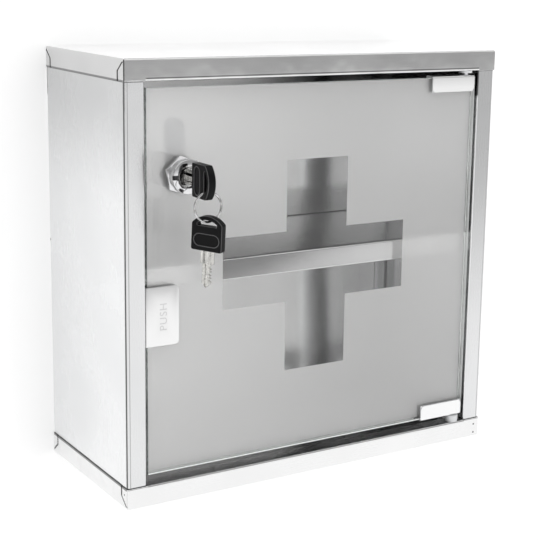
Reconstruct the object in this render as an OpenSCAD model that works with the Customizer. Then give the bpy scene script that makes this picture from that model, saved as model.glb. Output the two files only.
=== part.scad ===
// Wall-hung stainless medicine cabinet with a frosted glass door.
// Origin: on the wall plane, in the middle of the four wall screw holes. +Z is up and the door faces -Y.

/* [Cabinet] */
// Width over the cap
width = 300; // [276:1:420]
// Height over cap and pan
height = 300; // [290:1:420]
// Depth from the wall to the front of the cap
depth = 130; // [115:1:200]
// Thickness of the stainless sheet
sheet = 0.8; // [0.5:0.1:1]
// Outer radius of the bends of cap, pan and side panels
bend = 1.8; // [1.2:0.1:2.4]
// Height of the flanges of cap and pan
tray_flange = 15; // [13:0.5:20]
// Width of each front stile
stile = 15; // [12:0.5:20]
// How far the frame's returns run back from the front
return_depth = 12; // [11.5:0.5:14]
// Width of the side panels' rear flanges
rear_flange = 12; // [8:0.5:18]
// Length of the tabs that wrap the cap's and pan's corners
corner_tab = 10; // [8:0.5:14]
// Distance between the wall screw holes, side to side
wall_hole_across = 240; // [160:1:244]
// Distance between the wall screw holes, up and down
wall_hole_down = 220; // [160:1:244]
// Diameter of the wall screw holes
wall_hole = 6; // [4:0.1:8]

/* [Shelf] */
// Height of the shelf's top above the cabinet's middle
shelf_up = 11.5; // [5:0.5:22]
// Height of the shelf's front lip
shelf_lip = 15; // [11:0.5:18]
// Height of the shelf's rear flange
shelf_rear_flange = 8; // [5:0.5:10]
// Width of the rails under the shelf
rail = 9; // [6:0.5:12]

/* [Door glass] */
// Thickness of the glass
glass = 4; // [3:0.1:5]
// How far the glass sits behind the frame's front
recess = 3; // [2.8:0.1:4]
// Gap between glass and frame at each side
side_gap = 1.6; // [1.4:0.1:2.4]
// Gap between glass and frame at the top
top_gap = 4.5; // [4:0.1:6]
// Gap between glass and frame at the bottom
bottom_gap = 6.5; // [5.5:0.1:8]
// Thickness of the frosted film
film = 0.2; // [0.1:0.05:0.3]
// How far the film stops short of the glass's edges
film_border = 1; // [0.5:0.5:4]
// Length of the clear cross, tip to tip
cross_span = 150; // [120:1:160]
// Width of the cross's arms
cross_arm = 50; // [30:1:60]
// Height of the cross's middle above the glass's middle
cross_up = 1.5; // [-5:0.5:5]

/* [Hinge] */
// Width of the hinge clips
clip_width = 38; // [30:1:44]
// Height of the hinge clips' leaves
clip_height = 12; // [10:0.5:14]
// Thickness of the clips' metal
clip_metal = 1; // [0.8:0.1:1.2]
// Thickness of the clips' liners
clip_liner = 0.4; // [0.3:0.05:0.6]
// How far the clips stop short of the glass's side edge
clip_inset = 1.5; // [1:0.5:3]
// Distance from the glass's side edge to the pivot
pivot_inset = 7.5; // [6.5:0.5:9]
// Diameter of the hinge pins
pin = 4; // [3:0.1:4.5]
// Radial running clearance of the pins
pin_clearance = 0.05; // [0.02:0.01:0.1]
// Wall of the pivot bushes
bush_wall = 1.2; // [1:0.1:1.6]
// Diameter of the bushes' flanges
bush_flange = 9.6; // [9:0.1:9.8]
// Thickness of the bushes' flanges
bush_flange_thickness = 1.6; // [1.2:0.1:1.8]
// Thickness of the hinge plates
hinge_plate = 1.2; // [0.8:0.1:2]
// Diameter of the clips' grub screws
grub = 4; // [3:0.5:5]

/* [Push plate and catch] */
// Width of the push plate
push_width = 24; // [20:0.5:26]
// Height of the push plate
push_height = 40; // [34:1:46]
// How far the push plate's middle is below the shelf's top
push_down = 31; // [29:0.5:34]
// Corner radius of the push plate
push_corner = 3; // [1:0.5:5]
// Thickness of the push plate's metal
push_metal = 0.8; // [0.5:0.1:1]
// Diameter of the catch's plunger
plunger = 8; // [6:0.5:9]
// How far the plunger can be pressed in
plunger_travel = 3.5; // [2:0.5:4.5]
// Width of the catch's housing
housing_width = 18; // [15:0.5:20]
// Height of the catch's housing
housing_height = 15; // [13:0.5:16]
// Length of the catch's housing
housing_length = 44; // [38:1:50]

/* [Lock] */
// Distance from the glass's left edge to the lock's axis
lock_in = 25.8; // [24:0.1:30]
// Height of the lock's axis above the cabinet's middle
lock_up = 73.4; // [66:0.1:78]
// Diameter of the lock's threaded barrel
barrel = 16.4; // [15:0.1:16.8]
// Hexagon's width across its flats
nut_flats = 23.2; // [22:0.1:26]
// Thickness of the front hexagon
nut_thickness = 3; // [2:0.1:4]
// How far the collar stands in front of the hexagon
collar_height = 7; // [6:0.1:9]
// Outer diameter of the collar
collar = 23; // [21:0.1:24]
// Diameter of the turning plug
plug = 12; // [11:0.1:13]
// Radial running clearance of the plug
plug_clearance = 0.05; // [0.02:0.01:0.1]
// Length of the cam from the axis to its tip
cam_reach = 36; // [32:0.5:38]
// Width of the cam
cam_width = 14; // [10:0.5:16]
// Thickness of the cam
cam_thickness = 2; // [1.5:0.1:2.5]

/* [Keys] */
// Width of the key heads
head_width = 22; // [20:0.5:24]
// Length of the key heads up to their arched end
head_length = 17.5; // [16:0.5:20]
// Rise of the arched end
head_arch = 5.2; // [4.5:0.1:6]
// Thickness of the key heads
head_thickness = 5.4; // [5:0.1:6]
// Length of the blades out of the heads
blade_length = 24; // [22:0.5:26]
// Length of the blades' wide shoulders
shoulder_length = 8.5; // [6:0.5:9]
// Width of the blades' shoulders
shoulder_width = 9.4; // [8.5:0.1:9.8]
// Width of the blades
blade_width = 6.5; // [6:0.1:7]
// Thickness of the blades
blade_thickness = 2; // [1.6:0.1:2.2]
// Outer diameter of the key ring
ring = 20.3; // [18:0.1:24]
// Diameter of the key ring's wire
wire = 1.3; // [1:0.1:1.5]
// Turn of the hanging key about the vertical, from the key in the lock
key_turn = 32; // [25:1:38]

/* [Hidden] */
$fn = 48;

// A cut runs this far past the face that it opens.
past = 1;
// Gap between a moving piece and a flat face beside it.
running_gap = 0.3;
// Gap between fixed pieces that slip past each other when the cabinet is assembled.
fit_gap = 0.2;
// Radial gap round a screw, a rivet or a pressed piece.
snug = 0.02;

// The box
front = -depth;
lip_upturn = 6;
half_w = width / 2;
half_h = height / 2;
stile_front = front + sheet;
side_outer = half_w - sheet;
side_inner = side_outer - sheet;
opening_half_w = half_w - stile;
opening_top = half_h - tray_flange;
return_back = front + return_depth;

// Seams at the corner tabs, spot weld marks and their places along the flanges
seam = 0.8;
seam_knee = 0.57 * tray_flange;
seam_corner = bend + 0.6;
weld = 1.6;
weld_depth = 0.3;
weld_in = 5.6;
weld_down = [0.24 * tray_flange, 0.68 * tray_flange];

// The back panel's upper and lower edges are offset forward, to reach behind the trays' rear flanges.
tongue_reach = 8;
tongue_lap = 3;

// The door glass
glass_front = front + recess;
glass_back = glass_front + glass;
glass_left = side_gap - opening_half_w;
glass_right = opening_half_w - side_gap;
glass_top = opening_top - top_gap;
glass_bottom = bottom_gap - opening_top;
glass_mid_y = glass_front + glass / 2;
cross_z = (glass_top + glass_bottom) / 2 + cross_up;
film_trim = 0.5;

// The shelf reaches from the arc of the opening door's edge to the rear flanges.
shelf_front = glass_mid_y + norm([pivot_inset, glass / 2]) + running_gap;
shelf_back = -2 * sheet - fit_gap;
shelf_half_w = side_inner - fit_gap;
shelf_under = shelf_up - sheet;
shelf_hem = 5;
rail_front = shelf_front + 2 * sheet + fit_gap;
rail_back = shelf_back - sheet - fit_gap;

// Hinge clips wrap the glass over their liners. Their rear leaves are thick enough to take the grub screws.
clip_right = glass_right - clip_inset;
clip_left = clip_right - clip_width;
clip_wrap = clip_liner + clip_metal;
clip_front = glass_front - clip_wrap;
clip_rear_leaf = 3;
clip_back = glass_back + clip_liner + clip_rear_leaf;
clip_top = glass_top + clip_wrap;
clip_bottom = glass_bottom - clip_wrap;
grub_at = [clip_left + 0.24 * clip_width, clip_left + 0.62 * clip_width];
grub_down = 0.58 * clip_height;
grub_socket = 2;
grub_socket_depth = 1.5;

// The pivots stand in bushes in the return lips, each with a plate behind its lip.
pivot_x = glass_right - pivot_inset;
pin_bore = pin / 2 + pin_clearance;
bush_r = pin_bore + bush_wall;
bush_out = 1.5;
bush_through = sheet + hinge_plate + bush_out;
pin_end_gap = 0.5;
washer_d = bush_flange + 0.4;
plate_left = clip_left + 2;
plate_right = opening_half_w - sheet;
plate_front = stile_front + fit_gap;
plate_back = return_back - sheet - fit_gap;

// The push plate is folded round the glass's left edge over its liner.
push_z = shelf_up - push_down;
push_liner = 0.4;
push_wrap = push_liner + push_metal;
push_left = glass_left - push_wrap;
push_right = push_left + push_width;
strike_back = glass_back + push_wrap;

// The catch stands on its bracket, and its plunger's magnet meets the strike.
magnet = 2;
plunger_clearance = 0.08;
magnet_d = plunger + 1.6;
plunger_x = (push_left + push_right) / 2;
plunger_face = strike_back + running_gap;
housing_front = plunger_face + magnet + plunger_travel + running_gap;
housing_back = housing_front + housing_length;
housing_left = plunger_x - housing_width / 2;
housing_right = plunger_x + housing_width / 2;
housing_bottom = push_z - housing_height / 2;
housing_top = push_z + housing_height / 2;
plunger_bore = plunger / 2 + plunger_clearance;
plunger_back = housing_front + 0.55 * housing_length;
plunger_hollow = 0.3 * housing_length;
spring_front = plunger_back - plunger_hollow + plunger_travel + running_gap;
spring_back = plunger_back + 0.3 * housing_length;
spring_wire = 0.7;
spring_d = plunger - 2.4;
spring_turns = 9;
spring_steps = 12;
spring_sides = 6;
bracket = 1.2;
bracket_front = housing_back - 0.7 * housing_length;
bracket_leg = 12;
latch_screw = 2.5;
latch_screw_head = 5;
latch_screw_head_height = 1.6;
latch_screw_grip = 6;
latch_screw_at = [[plunger_x - 0.36 * housing_width, bracket_front + 6],
                  [plunger_x + 0.36 * housing_width, housing_back - 6]];

// The lock, from its front to its back
lock_x = glass_left + lock_in;
gasket = 0.5;
gasket_front = glass_front - gasket;
gasket_d = nut_flats - 1.2;
nut_front = gasket_front - nut_thickness;
nut_turn = 41.5;
nut_chamfer = 0.8;
collar_front = nut_front - collar_height;
collar_mouth = barrel + 1;
collar_mouth_depth = 1.8;
collar_notch = 3;
collar_notch_depth = 1.4;
barrel_r = barrel / 2;
barrel_front = collar_front + 1.2;
barrel_lip = 0.6;
barrel_cup_depth = 2.2;
cup_back = barrel_front + barrel_cup_depth;
plug_r = plug / 2;
plug_front = collar_front + 0.4;
plug_shoulder_r = barrel_r - barrel_lip - 0.4;
plug_shoulder = 0.8;
rear_washer = 1;
rear_washer_d = 25;
rear_nut = 3;
rear_nut_flats = 22;
rear_washer_front = glass_back + film;
rear_washer_back = rear_washer_front + rear_washer;
rear_nut_back = rear_washer_back + rear_nut;
cam_front = return_back + 0.8;
cam_back = cam_front + cam_thickness;
cam_root_r = 9;
barrel_back = cam_front - running_gap;
tang = 7;
cam_washer_thickness = 1;
cam_washer_d = 12;
cam_washer_back = cam_back + cam_washer_thickness;
cam_screw_d = 4;
cam_screw_head = 7.5;
cam_screw_rise = 2;
cam_screw_slot = 1;
cam_screw_tip = barrel_back - 2;
keyway_gap = 0.15;
keyway_back = cam_screw_tip - 1.2;
wafer_count = 5;
wafer = 0.6;
wafer_pitch = 1.9;
wafer_first = plug_front + 4;
wafer_half = [0.5 * plug_r, 0.78 * plug_r];
wafer_window_gap = 0.25;
wafer_gap = 0.1;

// The keys: h is across a key, v runs from its head's base to the arched end, and t is its thickness.
head_base = plug_front - shoulder_length;
arch_r = (pow(head_width / 2, 2) + pow(head_arch, 2)) / (2 * head_arch);
arch_centre = head_length + head_arch - arch_r;
slot_rim = 2.6;
slot_half = 7.15;
slot_start = head_length - 1.4;
slot_arch_r = arch_r - slot_rim;
recess_length = 18.5;
recess_width = 8;
recess_depth = 0.4;
recess_v = 0.4 * head_length;
blade_root = 9;
blade_point = 3;
bitting = [3.2, 5.1, 7, 8.9, 10.8];
bitting_size = 1;

// The ring hangs at the lower end of the first key's slot, and the second key hangs on the ring.
// Inside the hanging head the ring rises, so the slot's top clears the wire's lowest point by ring_rise.
// A key balances key_balance above its head's base, and the leaning key is set off to hang below the wire.
wire_r = wire / 2;
ring_r = ring / 2 - wire_r;
ring_hang = slot_half - wire_r - 0.5;
ring_y = head_base - slot_start - wire_r - running_gap;
ring_top = lock_up - ring_hang;
ring_z = ring_top - ring_r;
ring_bottom = ring_z - ring_r;
ring_rise = 0.95;
key_two_v = arch_centre + slot_arch_r - wire_r - ring_rise;
key_two_lean = 2.5;
key_balance = 1.6;
key_two_h = (key_two_v - key_balance) * tan(key_two_lean);

// A box between two corners
module block(low, high) {
    translate(low) cube(high - low);
}

// A round bar along Y from y0 to y1
module bar_y(r, y0, y1) {
    translate([0, y0, 0]) rotate([-90, 0, 0]) cylinder(r = r, h = y1 - y0);
}

// A flat shape drawn in the X-Z plane and thickened along Y from y0 to y1
module plate_y(y0, y1) {
    translate([0, y1, 0]) rotate([90, 0, 0]) linear_extrude(y1 - y0) children();
}

// A flat shape drawn in the X-Y plane and thickened along Z from z0 to z1
module plate_z(z0, z1) {
    translate([0, 0, z0]) linear_extrude(z1 - z0) children();
}

// A rectangle from [0, -h/2] to [w, h/2] whose two corners at w are rounded
module free_end(w, h, r) {
    translate([0, -h / 2]) square([w - r, h]);
    translate([w - r - past, r - h / 2]) square([r + past, h - 2 * r]);
    for (side = [-1, 1]) translate([w - r, side * (h / 2 - r)]) circle(r);
}

// The slit between a tray's side flange and the tab that wraps its corner: it rises from the flange's edge,
// then slants to the corner. y is the corner, and dir points from it along the side.
module tab_seam(y, dir) {
    tab = y + dir * corner_tab;
    inner = [[tab, opening_top - past], [tab, half_h - seam_knee],
             [y + dir * seam_corner, half_h - seam_corner]];
    outer = [for (i = [2:-1:0]) inner[i] - [dir * seam, 0]];
    for (side = [-1, 1])
        translate([side * half_w - past - sheet, 0, 0]) rotate([90, 0, 90])
            linear_extrude(2 * (past + sheet)) polygon(concat(inner, outer));
}

// Two rectangles and four discs: a rectangle whose corners have radius r
module rounded_box(low, high, r) {
    translate([low[0] + r, low[1]]) square([high[0] - low[0] - 2 * r, high[1] - low[1]]);
    translate([low[0], low[1] + r]) square([high[0] - low[0], high[1] - low[1] - 2 * r]);
    for (x = [low[0] + r, high[0] - r], y = [low[1] + r, high[1] - r]) translate([x, y]) circle(r);
}

// A box whose upright edges and top edges are rounded to radius r
module lid_block(low, high, r) {
    plate_z(low[2], high[2] - r) rounded_box([low[0], low[1]], [high[0], high[1]], r);
    block([low[0] + r, low[1] + r, low[2]], [high[0] - r, high[1] - r, high[2]]);
    for (y = [low[1] + r, high[1] - r]) translate([low[0] + r, y, high[2] - r]) rotate([0, 90, 0])
        cylinder(r = r, h = high[0] - low[0] - 2 * r);
    for (x = [low[0] + r, high[0] - r]) translate([x, 0, high[2] - r]) bar_y(r, low[1] + r, high[1] - r);
    for (x = [low[0] + r, high[0] - r], y = [low[1] + r, high[1] - r])
        translate([x, y, high[2] - r]) sphere(r);
}

// The upper tray: a top sheet, four flanges, and a return lip over the door opening.
// The pan is its mirror image.
module tray() {
    lip_half = opening_half_w - fit_gap;
    difference() {
        union() {
            difference() {
                lid_block([-half_w, front, opening_top], [half_w, 0, half_h], bend);
                lid_block([-side_outer, stile_front, opening_top - past], [side_outer, -sheet, half_h - sheet],
                          bend - sheet);
            }
            block([-lip_half, stile_front - sheet / 2, opening_top],
                  [lip_half, return_back, opening_top + sheet]);
            block([-lip_half, return_back - sheet, opening_top],
                  [lip_half, return_back, opening_top + lip_upturn]);
        }
        tab_seam(front, 1);
        tab_seam(0, -1);
        for (side = [-1, 1], down = weld_down)
            translate([side * (half_w - weld_in), 0, half_h - down])
                bar_y(weld / 2, front - past, front + weld_depth);
        for (side = [-1, 1])
            translate([side * half_w, front + 0.46 * corner_tab, half_h - weld_down[1]])
                rotate([0, -side * 90, 0])
                translate([0, 0, -past]) cylinder(d = weld, h = weld_depth + past);
        translate([pivot_x, glass_mid_y, opening_top - past])
            cylinder(r = bush_r + snug, h = sheet + 2 * past);
    }
}

module top_cap() {
    color("silver") tray();
}

module bottom_pan() {
    color("silver") mirror([0, 0, 1]) tray();
}

// One sheet bent four times, seen from above: rear flange, side wall, stile and the return beside the door
module side_section() {
    difference() {
        rounded_box([-side_outer, stile_front], [-opening_half_w, -sheet], bend);
        rounded_box([-side_inner, stile_front + sheet], [-opening_half_w - sheet, past], bend - sheet);
        translate([-side_inner, return_back]) square([stile, depth]);
    }
    translate([-side_outer, -2 * sheet]) square([rear_flange, sheet]);
    translate([-side_outer, -2 * bend]) square([sheet, 2 * bend - sheet]);
}

// The panel stops where the bends inside cap and pan begin.
module left_side_panel() {
    tall = half_h - bend;
    color("gainsboro") plate_z(-tall, tall) side_section();
}

module right_side_panel() {
    mirror([1, 0, 0]) left_side_panel();
}

// The middle lies flush with the trays' rear flanges, and a joggled tongue above and below lies behind them.
module back_panel() {
    tall = opening_top - fit_gap;
    tongue_half_w = side_outer - rear_flange - fit_gap;
    at = [wall_hole_across / 2, wall_hole_down / 2];
    color("lightgray") difference() {
        union() {
            block([-side_outer, -sheet, -tall], [side_outer, 0, tall]);
            for (turn = [0, 180]) rotate([0, turn, 0])
                block([-tongue_half_w, -2 * sheet, opening_top - tongue_lap],
                      [tongue_half_w, -sheet, opening_top + tongue_reach]);
        }
        for (x = [-at[0], at[0]], z = [-at[1], at[1]])
            translate([x, 0, z]) bar_y(wall_hole / 2, -2 * sheet - past, past);
    }
}

// A sheet with a turned-down front lip, whose edge is hemmed, and a turned-down rear flange
module shelf() {
    lip_low = shelf_up - shelf_lip;
    color("silver") union() {
        block([-shelf_half_w, shelf_front, shelf_under], [shelf_half_w, shelf_back, shelf_up]);
        block([-shelf_half_w, shelf_front, lip_low], [shelf_half_w, shelf_front + sheet, shelf_up]);
        block([-shelf_half_w, shelf_front, lip_low],
              [shelf_half_w, shelf_front + 2 * sheet, lip_low + shelf_hem]);
        block([-shelf_half_w, shelf_back - sheet, shelf_up - shelf_rear_flange],
              [shelf_half_w, shelf_back, shelf_up]);
    }
}

module shelf_rail_left() {
    color("darkgray") union() {
        block([-side_inner, rail_front, shelf_under - rail], [-side_inner + sheet, rail_back, shelf_under]);
        block([-side_inner, rail_front, shelf_under - sheet], [-side_inner + rail, rail_back, shelf_under]);
    }
}

module shelf_rail_right() {
    mirror([1, 0, 0]) shelf_rail_left();
}

module hinge_plate_top() {
    low = opening_top + sheet;
    color("dimgray") difference() {
        block([plate_left, plate_front, low], [plate_right, plate_back, low + hinge_plate]);
        translate([pivot_x, glass_mid_y, low - past]) cylinder(r = bush_r + snug, h = hinge_plate + 2 * past);
    }
}

module hinge_plate_bottom() {
    mirror([0, 0, 1]) hinge_plate_top();
}

// A flanged bush: the flange lies under the lip, and the sleeve goes up through lip and plate.
module pivot_bush_top() {
    color("white") translate([pivot_x, glass_mid_y, 0]) difference() {
        union() {
            translate([0, 0, opening_top - bush_flange_thickness])
                cylinder(d = bush_flange, h = bush_flange_thickness);
            translate([0, 0, opening_top - bush_flange_thickness])
                cylinder(r = bush_r, h = bush_flange_thickness + bush_through);
        }
        translate([0, 0, opening_top - bush_flange_thickness - past])
            cylinder(r = pin_bore, h = bush_flange_thickness + bush_through + 2 * past);
    }
}

module pivot_bush_bottom() {
    mirror([0, 0, 1]) pivot_bush_top();
}

// Fills the space between the bottom bush and the bottom clip, and carries the door.
module thrust_washer() {
    low = bush_flange_thickness - opening_top;
    high = clip_bottom - fit_gap;
    color("white") translate([pivot_x, glass_mid_y, 0]) difference() {
        translate([0, 0, low]) cylinder(d = washer_d, h = high - low);
        translate([0, 0, low - past]) cylinder(r = pin_bore + 0.1, h = high - low + 2 * past);
    }
}

// An angle: one leg on the side wall, the other under the catch
module latch_bracket() {
    low = housing_bottom - bracket;
    color("silver") difference() {
        union() {
            block([-side_inner, bracket_front, low], [-side_inner + bracket, housing_back, low + bracket_leg]);
            block([-side_inner, bracket_front, low], [housing_right, housing_back, housing_bottom]);
        }
        for (at = latch_screw_at)
            translate([at[0], at[1], low - past]) cylinder(d = latch_screw + 2 * snug, h = bracket + 2 * past);
    }
}

module latch_housing() {
    color("dimgray") difference() {
        block([housing_left, housing_front, housing_bottom], [housing_right, housing_back, housing_top]);
        translate([plunger_x, 0, push_z]) bar_y(plunger_bore, housing_front - past, spring_back);
        for (at = latch_screw_at)
            translate([at[0], at[1], housing_bottom - past])
                cylinder(d = latch_screw + 2 * snug, h = latch_screw_grip + fit_gap + past);
    }
}

module latch_screws() {
    low = housing_bottom - bracket;
    color("gray") for (at = latch_screw_at) translate([at[0], at[1], low]) union() {
        cylinder(d = latch_screw, h = bracket + latch_screw_grip);
        translate([0, 0, -latch_screw_head_height]) cylinder(d = latch_screw_head, h = latch_screw_head_height);
    }
}

// A point on the spring's tube: turn counts revolutions from 0, and around is the angle round the wire.
function spring_point(turn, around) =
    let (r = (spring_d - spring_wire) / 2 + spring_wire / 2 * cos(around),
         climb = (spring_back - spring_front - spring_wire) * turn / spring_turns)
    [plunger_x + r * cos(360 * turn),
     spring_front + spring_wire / 2 + climb + spring_wire / 2 * sin(around),
     push_z + r * sin(360 * turn)];

// A helix swept from rings of points, with a flat cap at each end
module latch_spring() {
    rings = spring_turns * spring_steps;
    points = [for (i = [0:rings], k = [0:spring_sides - 1])
        spring_point(i / spring_steps, 360 * k / spring_sides)];
    skin = [for (i = [0:rings - 1], k = [0:spring_sides - 1])
        let (a = i * spring_sides, next = (k + 1) % spring_sides)
        [[a + k, a + next, a + spring_sides + next], [a + k, a + spring_sides + next, a + spring_sides + k]]];
    first_cap = [for (k = [1:spring_sides - 2]) [0, k + 1, k]];
    last = rings * spring_sides;
    last_cap = [for (k = [1:spring_sides - 2]) [last, last + k, last + k + 1]];
    color("gray") polyhedron(points = points,
        faces = concat([for (pair = skin, face = pair) face], first_cap, last_cap));
}

module door_glass() {
    color("azure", 0.4) difference() {
        block([glass_left, glass_front, glass_bottom], [glass_right, glass_back, glass_top]);
        translate([lock_x, 0, lock_up]) bar_y(barrel_r + fit_gap, glass_front - past, glass_back + past);
    }
}

// The frost behind the glass, with the cross and a hole for the lock's barrel cut out of it. The clips, the push
// plate and the lock's washer grip glass and film together.
module frosted_film() {
    color("whitesmoke", 0.8) plate_y(glass_back, glass_back + film) difference() {
        translate([glass_left + film_border, glass_bottom + film_border])
            square([glass_right - glass_left - 2 * film_border, glass_top - glass_bottom - 2 * film_border]);
        translate([0, cross_z]) square([cross_span, cross_arm], center = true);
        translate([0, cross_z]) square([cross_arm, cross_span], center = true);
        translate([lock_x, lock_up]) circle(barrel_r + film_trim);
    }
}

// A folded clip over the glass's top edge, with a pin hole in its fold and two threaded holes in its rear leaf
module hinge_clip_top() {
    low = clip_top - clip_height;
    color("gainsboro") difference() {
        block([clip_left, clip_front, low], [clip_right, clip_back, clip_top]);
        block([clip_left - past, glass_front - clip_liner, low - past],
              [clip_right + past, glass_back + clip_liner, glass_top + clip_liner]);
        translate([pivot_x, glass_mid_y, glass_top]) cylinder(r = pin / 2 + snug, h = clip_wrap + past);
        for (x = grub_at)
            translate([x, 0, clip_top - grub_down]) bar_y(grub / 2 + snug, glass_back, clip_back + past);
    }
}

// The bottom clip is the same piece turned over at the glass's bottom edge.
module at_bottom_edge() {
    translate([0, 0, glass_bottom + glass_top]) mirror([0, 0, 1]) children();
}

module hinge_clip_bottom() {
    at_bottom_edge() hinge_clip_top();
}

module clip_liner_top() {
    low = clip_top - clip_height;
    color("white") difference() {
        block([clip_left, glass_front - clip_liner, low],
              [clip_right, glass_back + clip_liner, glass_top + clip_liner]);
        block([clip_left - past, glass_front, low - past], [clip_right + past, glass_back + film, glass_top]);
    }
}

module clip_liner_bottom() {
    at_bottom_edge() clip_liner_top();
}

// Grub screws with a hexagon socket, screwed through the rear leaf against the liner
module grub_pair() {
    for (x = grub_at) translate([x, 0, clip_top - grub_down]) difference() {
        bar_y(grub / 2, glass_back + clip_liner, clip_back);
        translate([0, clip_back - grub_socket_depth, 0]) rotate([-90, 0, 0])
            cylinder(d = grub_socket, h = grub_socket_depth + past, $fn = 6);
    }
}

module clip_screws() {
    color("dimgray") {
        grub_pair();
        at_bottom_edge() grub_pair();
    }
}

// Each pin is riveted in its clip's fold and turns in its bush.
module hinge_pin_top() {
    low = glass_top + clip_liner;
    high = opening_top + bush_through - pin_end_gap;
    color("silver") translate([pivot_x, glass_mid_y, low]) cylinder(d = pin, h = high - low);
}

module hinge_pin_bottom() {
    low = pin_end_gap - opening_top - bush_through;
    high = glass_bottom - clip_liner;
    color("silver") translate([pivot_x, glass_mid_y, low]) cylinder(d = pin, h = high - low);
}

// One folded sheet: front leaf, edge and rear leaf, with rounded free corners
module push_fold(grow, thick, rear_thick) {
    left = glass_left - grow;
    leaf = push_right - left;
    translate([left, 0, push_z]) {
        plate_y(glass_front - grow, glass_front - grow + thick) free_end(leaf, push_height, push_corner);
        plate_y(glass_back + grow - rear_thick, glass_back + grow) free_end(leaf, push_height, push_corner);
        plate_y(glass_front - grow, glass_back + grow)
            translate([0, -push_height / 2]) square([thick, push_height]);
    }
}

module push_plate() {
    color("whitesmoke") union() push_fold(push_wrap, push_metal, push_metal);
}

module push_plate_liner() {
    color("gray") union() push_fold(push_liner, push_liner, push_liner - film);
}

// A hexagon across the lock's axis, with a vertex at the given turn
module hexagon(flats, turn, y0, y1) {
    plate_y(y0, y1) rotate(turn) circle(d = flats / cos(30), $fn = 6);
}

module on_lock() {
    translate([lock_x, 0, lock_up]) children();
}

// A washer or sleeve round the lock's axis
module lock_ring(outer_r, inner_r, y0, y1) {
    difference() {
        bar_y(outer_r, y0, y1);
        bar_y(inner_r, y0 - past, y1 + past);
    }
}

module lock_gasket() {
    color("dimgray") on_lock() lock_ring(gasket_d / 2, barrel_r + snug, gasket_front, glass_front);
}

// The hexagon's front corners are turned to a cone.
module lock_front_nut() {
    corner_r = nut_flats / 2 / cos(30);
    color("silver") on_lock() difference() {
        intersection() {
            hexagon(nut_flats, nut_turn, nut_front, gasket_front);
            translate([0, nut_front, 0]) rotate([-90, 0, 0])
                cylinder(r1 = nut_flats / 2 - nut_chamfer / 2, r2 = corner_r + nut_chamfer + nut_thickness,
                         h = nut_thickness + past);
        }
        bar_y(barrel_r + snug, nut_front - past, gasket_front + past);
    }
}

module lock_collar() {
    color("gainsboro") on_lock() difference() {
        lock_ring(collar / 2, barrel_r + snug, collar_front, nut_front);
        bar_y(collar_mouth / 2, collar_front - past, collar_front + collar_mouth_depth);
        block([-collar, collar_front - past, -collar_notch / 2],
              [-barrel_r, collar_front + collar_notch_depth, collar_notch / 2]);
    }
}

// The threaded tube, with a shallow cup in its front for the plug's shoulder
module lock_barrel() {
    color("lightgray") on_lock() difference() {
        lock_ring(barrel_r, plug_r + plug_clearance, barrel_front, barrel_back);
        bar_y(barrel_r - barrel_lip, barrel_front - past, cup_back);
    }
}

module lock_rear_washer() {
    color("silver") on_lock() lock_ring(rear_washer_d / 2, barrel_r + snug, rear_washer_front, rear_washer_back);
}

module lock_rear_nut() {
    color("silver") on_lock() difference() {
        hexagon(rear_nut_flats, 0, rear_washer_back, rear_nut_back);
        bar_y(barrel_r + snug, rear_washer_back - past, rear_nut_back + past);
    }
}

// The core with its keyway and wafer slots, and a square tang behind for the cam
module lock_plug() {
    half_t = blade_thickness / 2 + keyway_gap;
    half_h_key = blade_width / 2 + keyway_gap;
    color("tan") on_lock() difference() {
        union() {
            bar_y(plug_r, plug_front, cam_front);
            bar_y(plug_shoulder_r, cup_back - wafer_gap - plug_shoulder, cup_back - wafer_gap);
            block([-tang / 2, cam_front - past, -tang / 2], [tang / 2, cam_back - wafer_gap, tang / 2]);
        }
        block([-half_t, plug_front - past, -half_h_key], [half_t, keyway_back, half_h_key]);
        for (i = [0:wafer_count - 1]) {
            at = wafer_first + i * wafer_pitch;
            block([-wafer_half[0] - wafer_gap, at - wafer_gap, -plug],
                  [wafer_half[0] + wafer_gap, at + wafer + wafer_gap, plug]);
        }
        bar_y(cam_screw_d / 2 + snug, cam_screw_tip, cam_back + past);
    }
}

// Thin plates across the plug, each with a window that the blade passes through
module lock_wafers() {
    window = [blade_thickness / 2 + wafer_window_gap, blade_width / 2 + wafer_window_gap];
    color("gold") on_lock() for (i = [0:wafer_count - 1]) {
        at = wafer_first + i * wafer_pitch;
        difference() {
            block([-wafer_half[0], at, -wafer_half[1]], [wafer_half[0], at + wafer, wafer_half[1]]);
            block([-window[0], at - past, -window[1]], [window[0], at + wafer + past, window[1]]);
        }
    }
}

// A flat arm with a square hole, pointing up: turned a quarter, it catches behind the left return.
module lock_cam() {
    tip = cam_reach - cam_width / 2;
    color("silver") on_lock() plate_y(cam_front, cam_back) difference() {
        union() {
            circle(cam_root_r);
            translate([-cam_width / 2, 0]) square([cam_width, tip]);
            translate([0, tip]) circle(d = cam_width);
        }
        square(tang + 2 * snug, center = true);
    }
}

module cam_washer() {
    color("gray") on_lock() lock_ring(cam_washer_d / 2, cam_screw_d / 2 + snug, cam_back, cam_washer_back);
}

module cam_screw() {
    color("gray") on_lock() difference() {
        union() {
            bar_y(cam_screw_d / 2, cam_screw_tip, cam_washer_back);
            bar_y(cam_screw_head / 2, cam_washer_back, cam_washer_back + cam_screw_rise);
        }
        block([-cam_screw_head, cam_washer_back + cam_screw_rise / 2, -cam_screw_slot / 2],
              [cam_screw_head, cam_washer_back + cam_screw_rise + past, cam_screw_slot / 2]);
    }
}

// A key's head: straight sides, a flat base and an arched end with a slot under the arch
module key_outline() {
    difference() {
        union() {
            translate([-head_width / 2, 0]) square([head_width, head_length]);
            intersection() {
                translate([0, arch_centre]) circle(arch_r);
                translate([-head_width / 2, 0]) square([head_width, head_length + head_arch + past]);
            }
        }
        intersection() {
            translate([0, arch_centre]) circle(slot_arch_r);
            translate([-slot_half, slot_start]) square([2 * slot_half, head_arch + head_length]);
        }
    }
}

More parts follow.
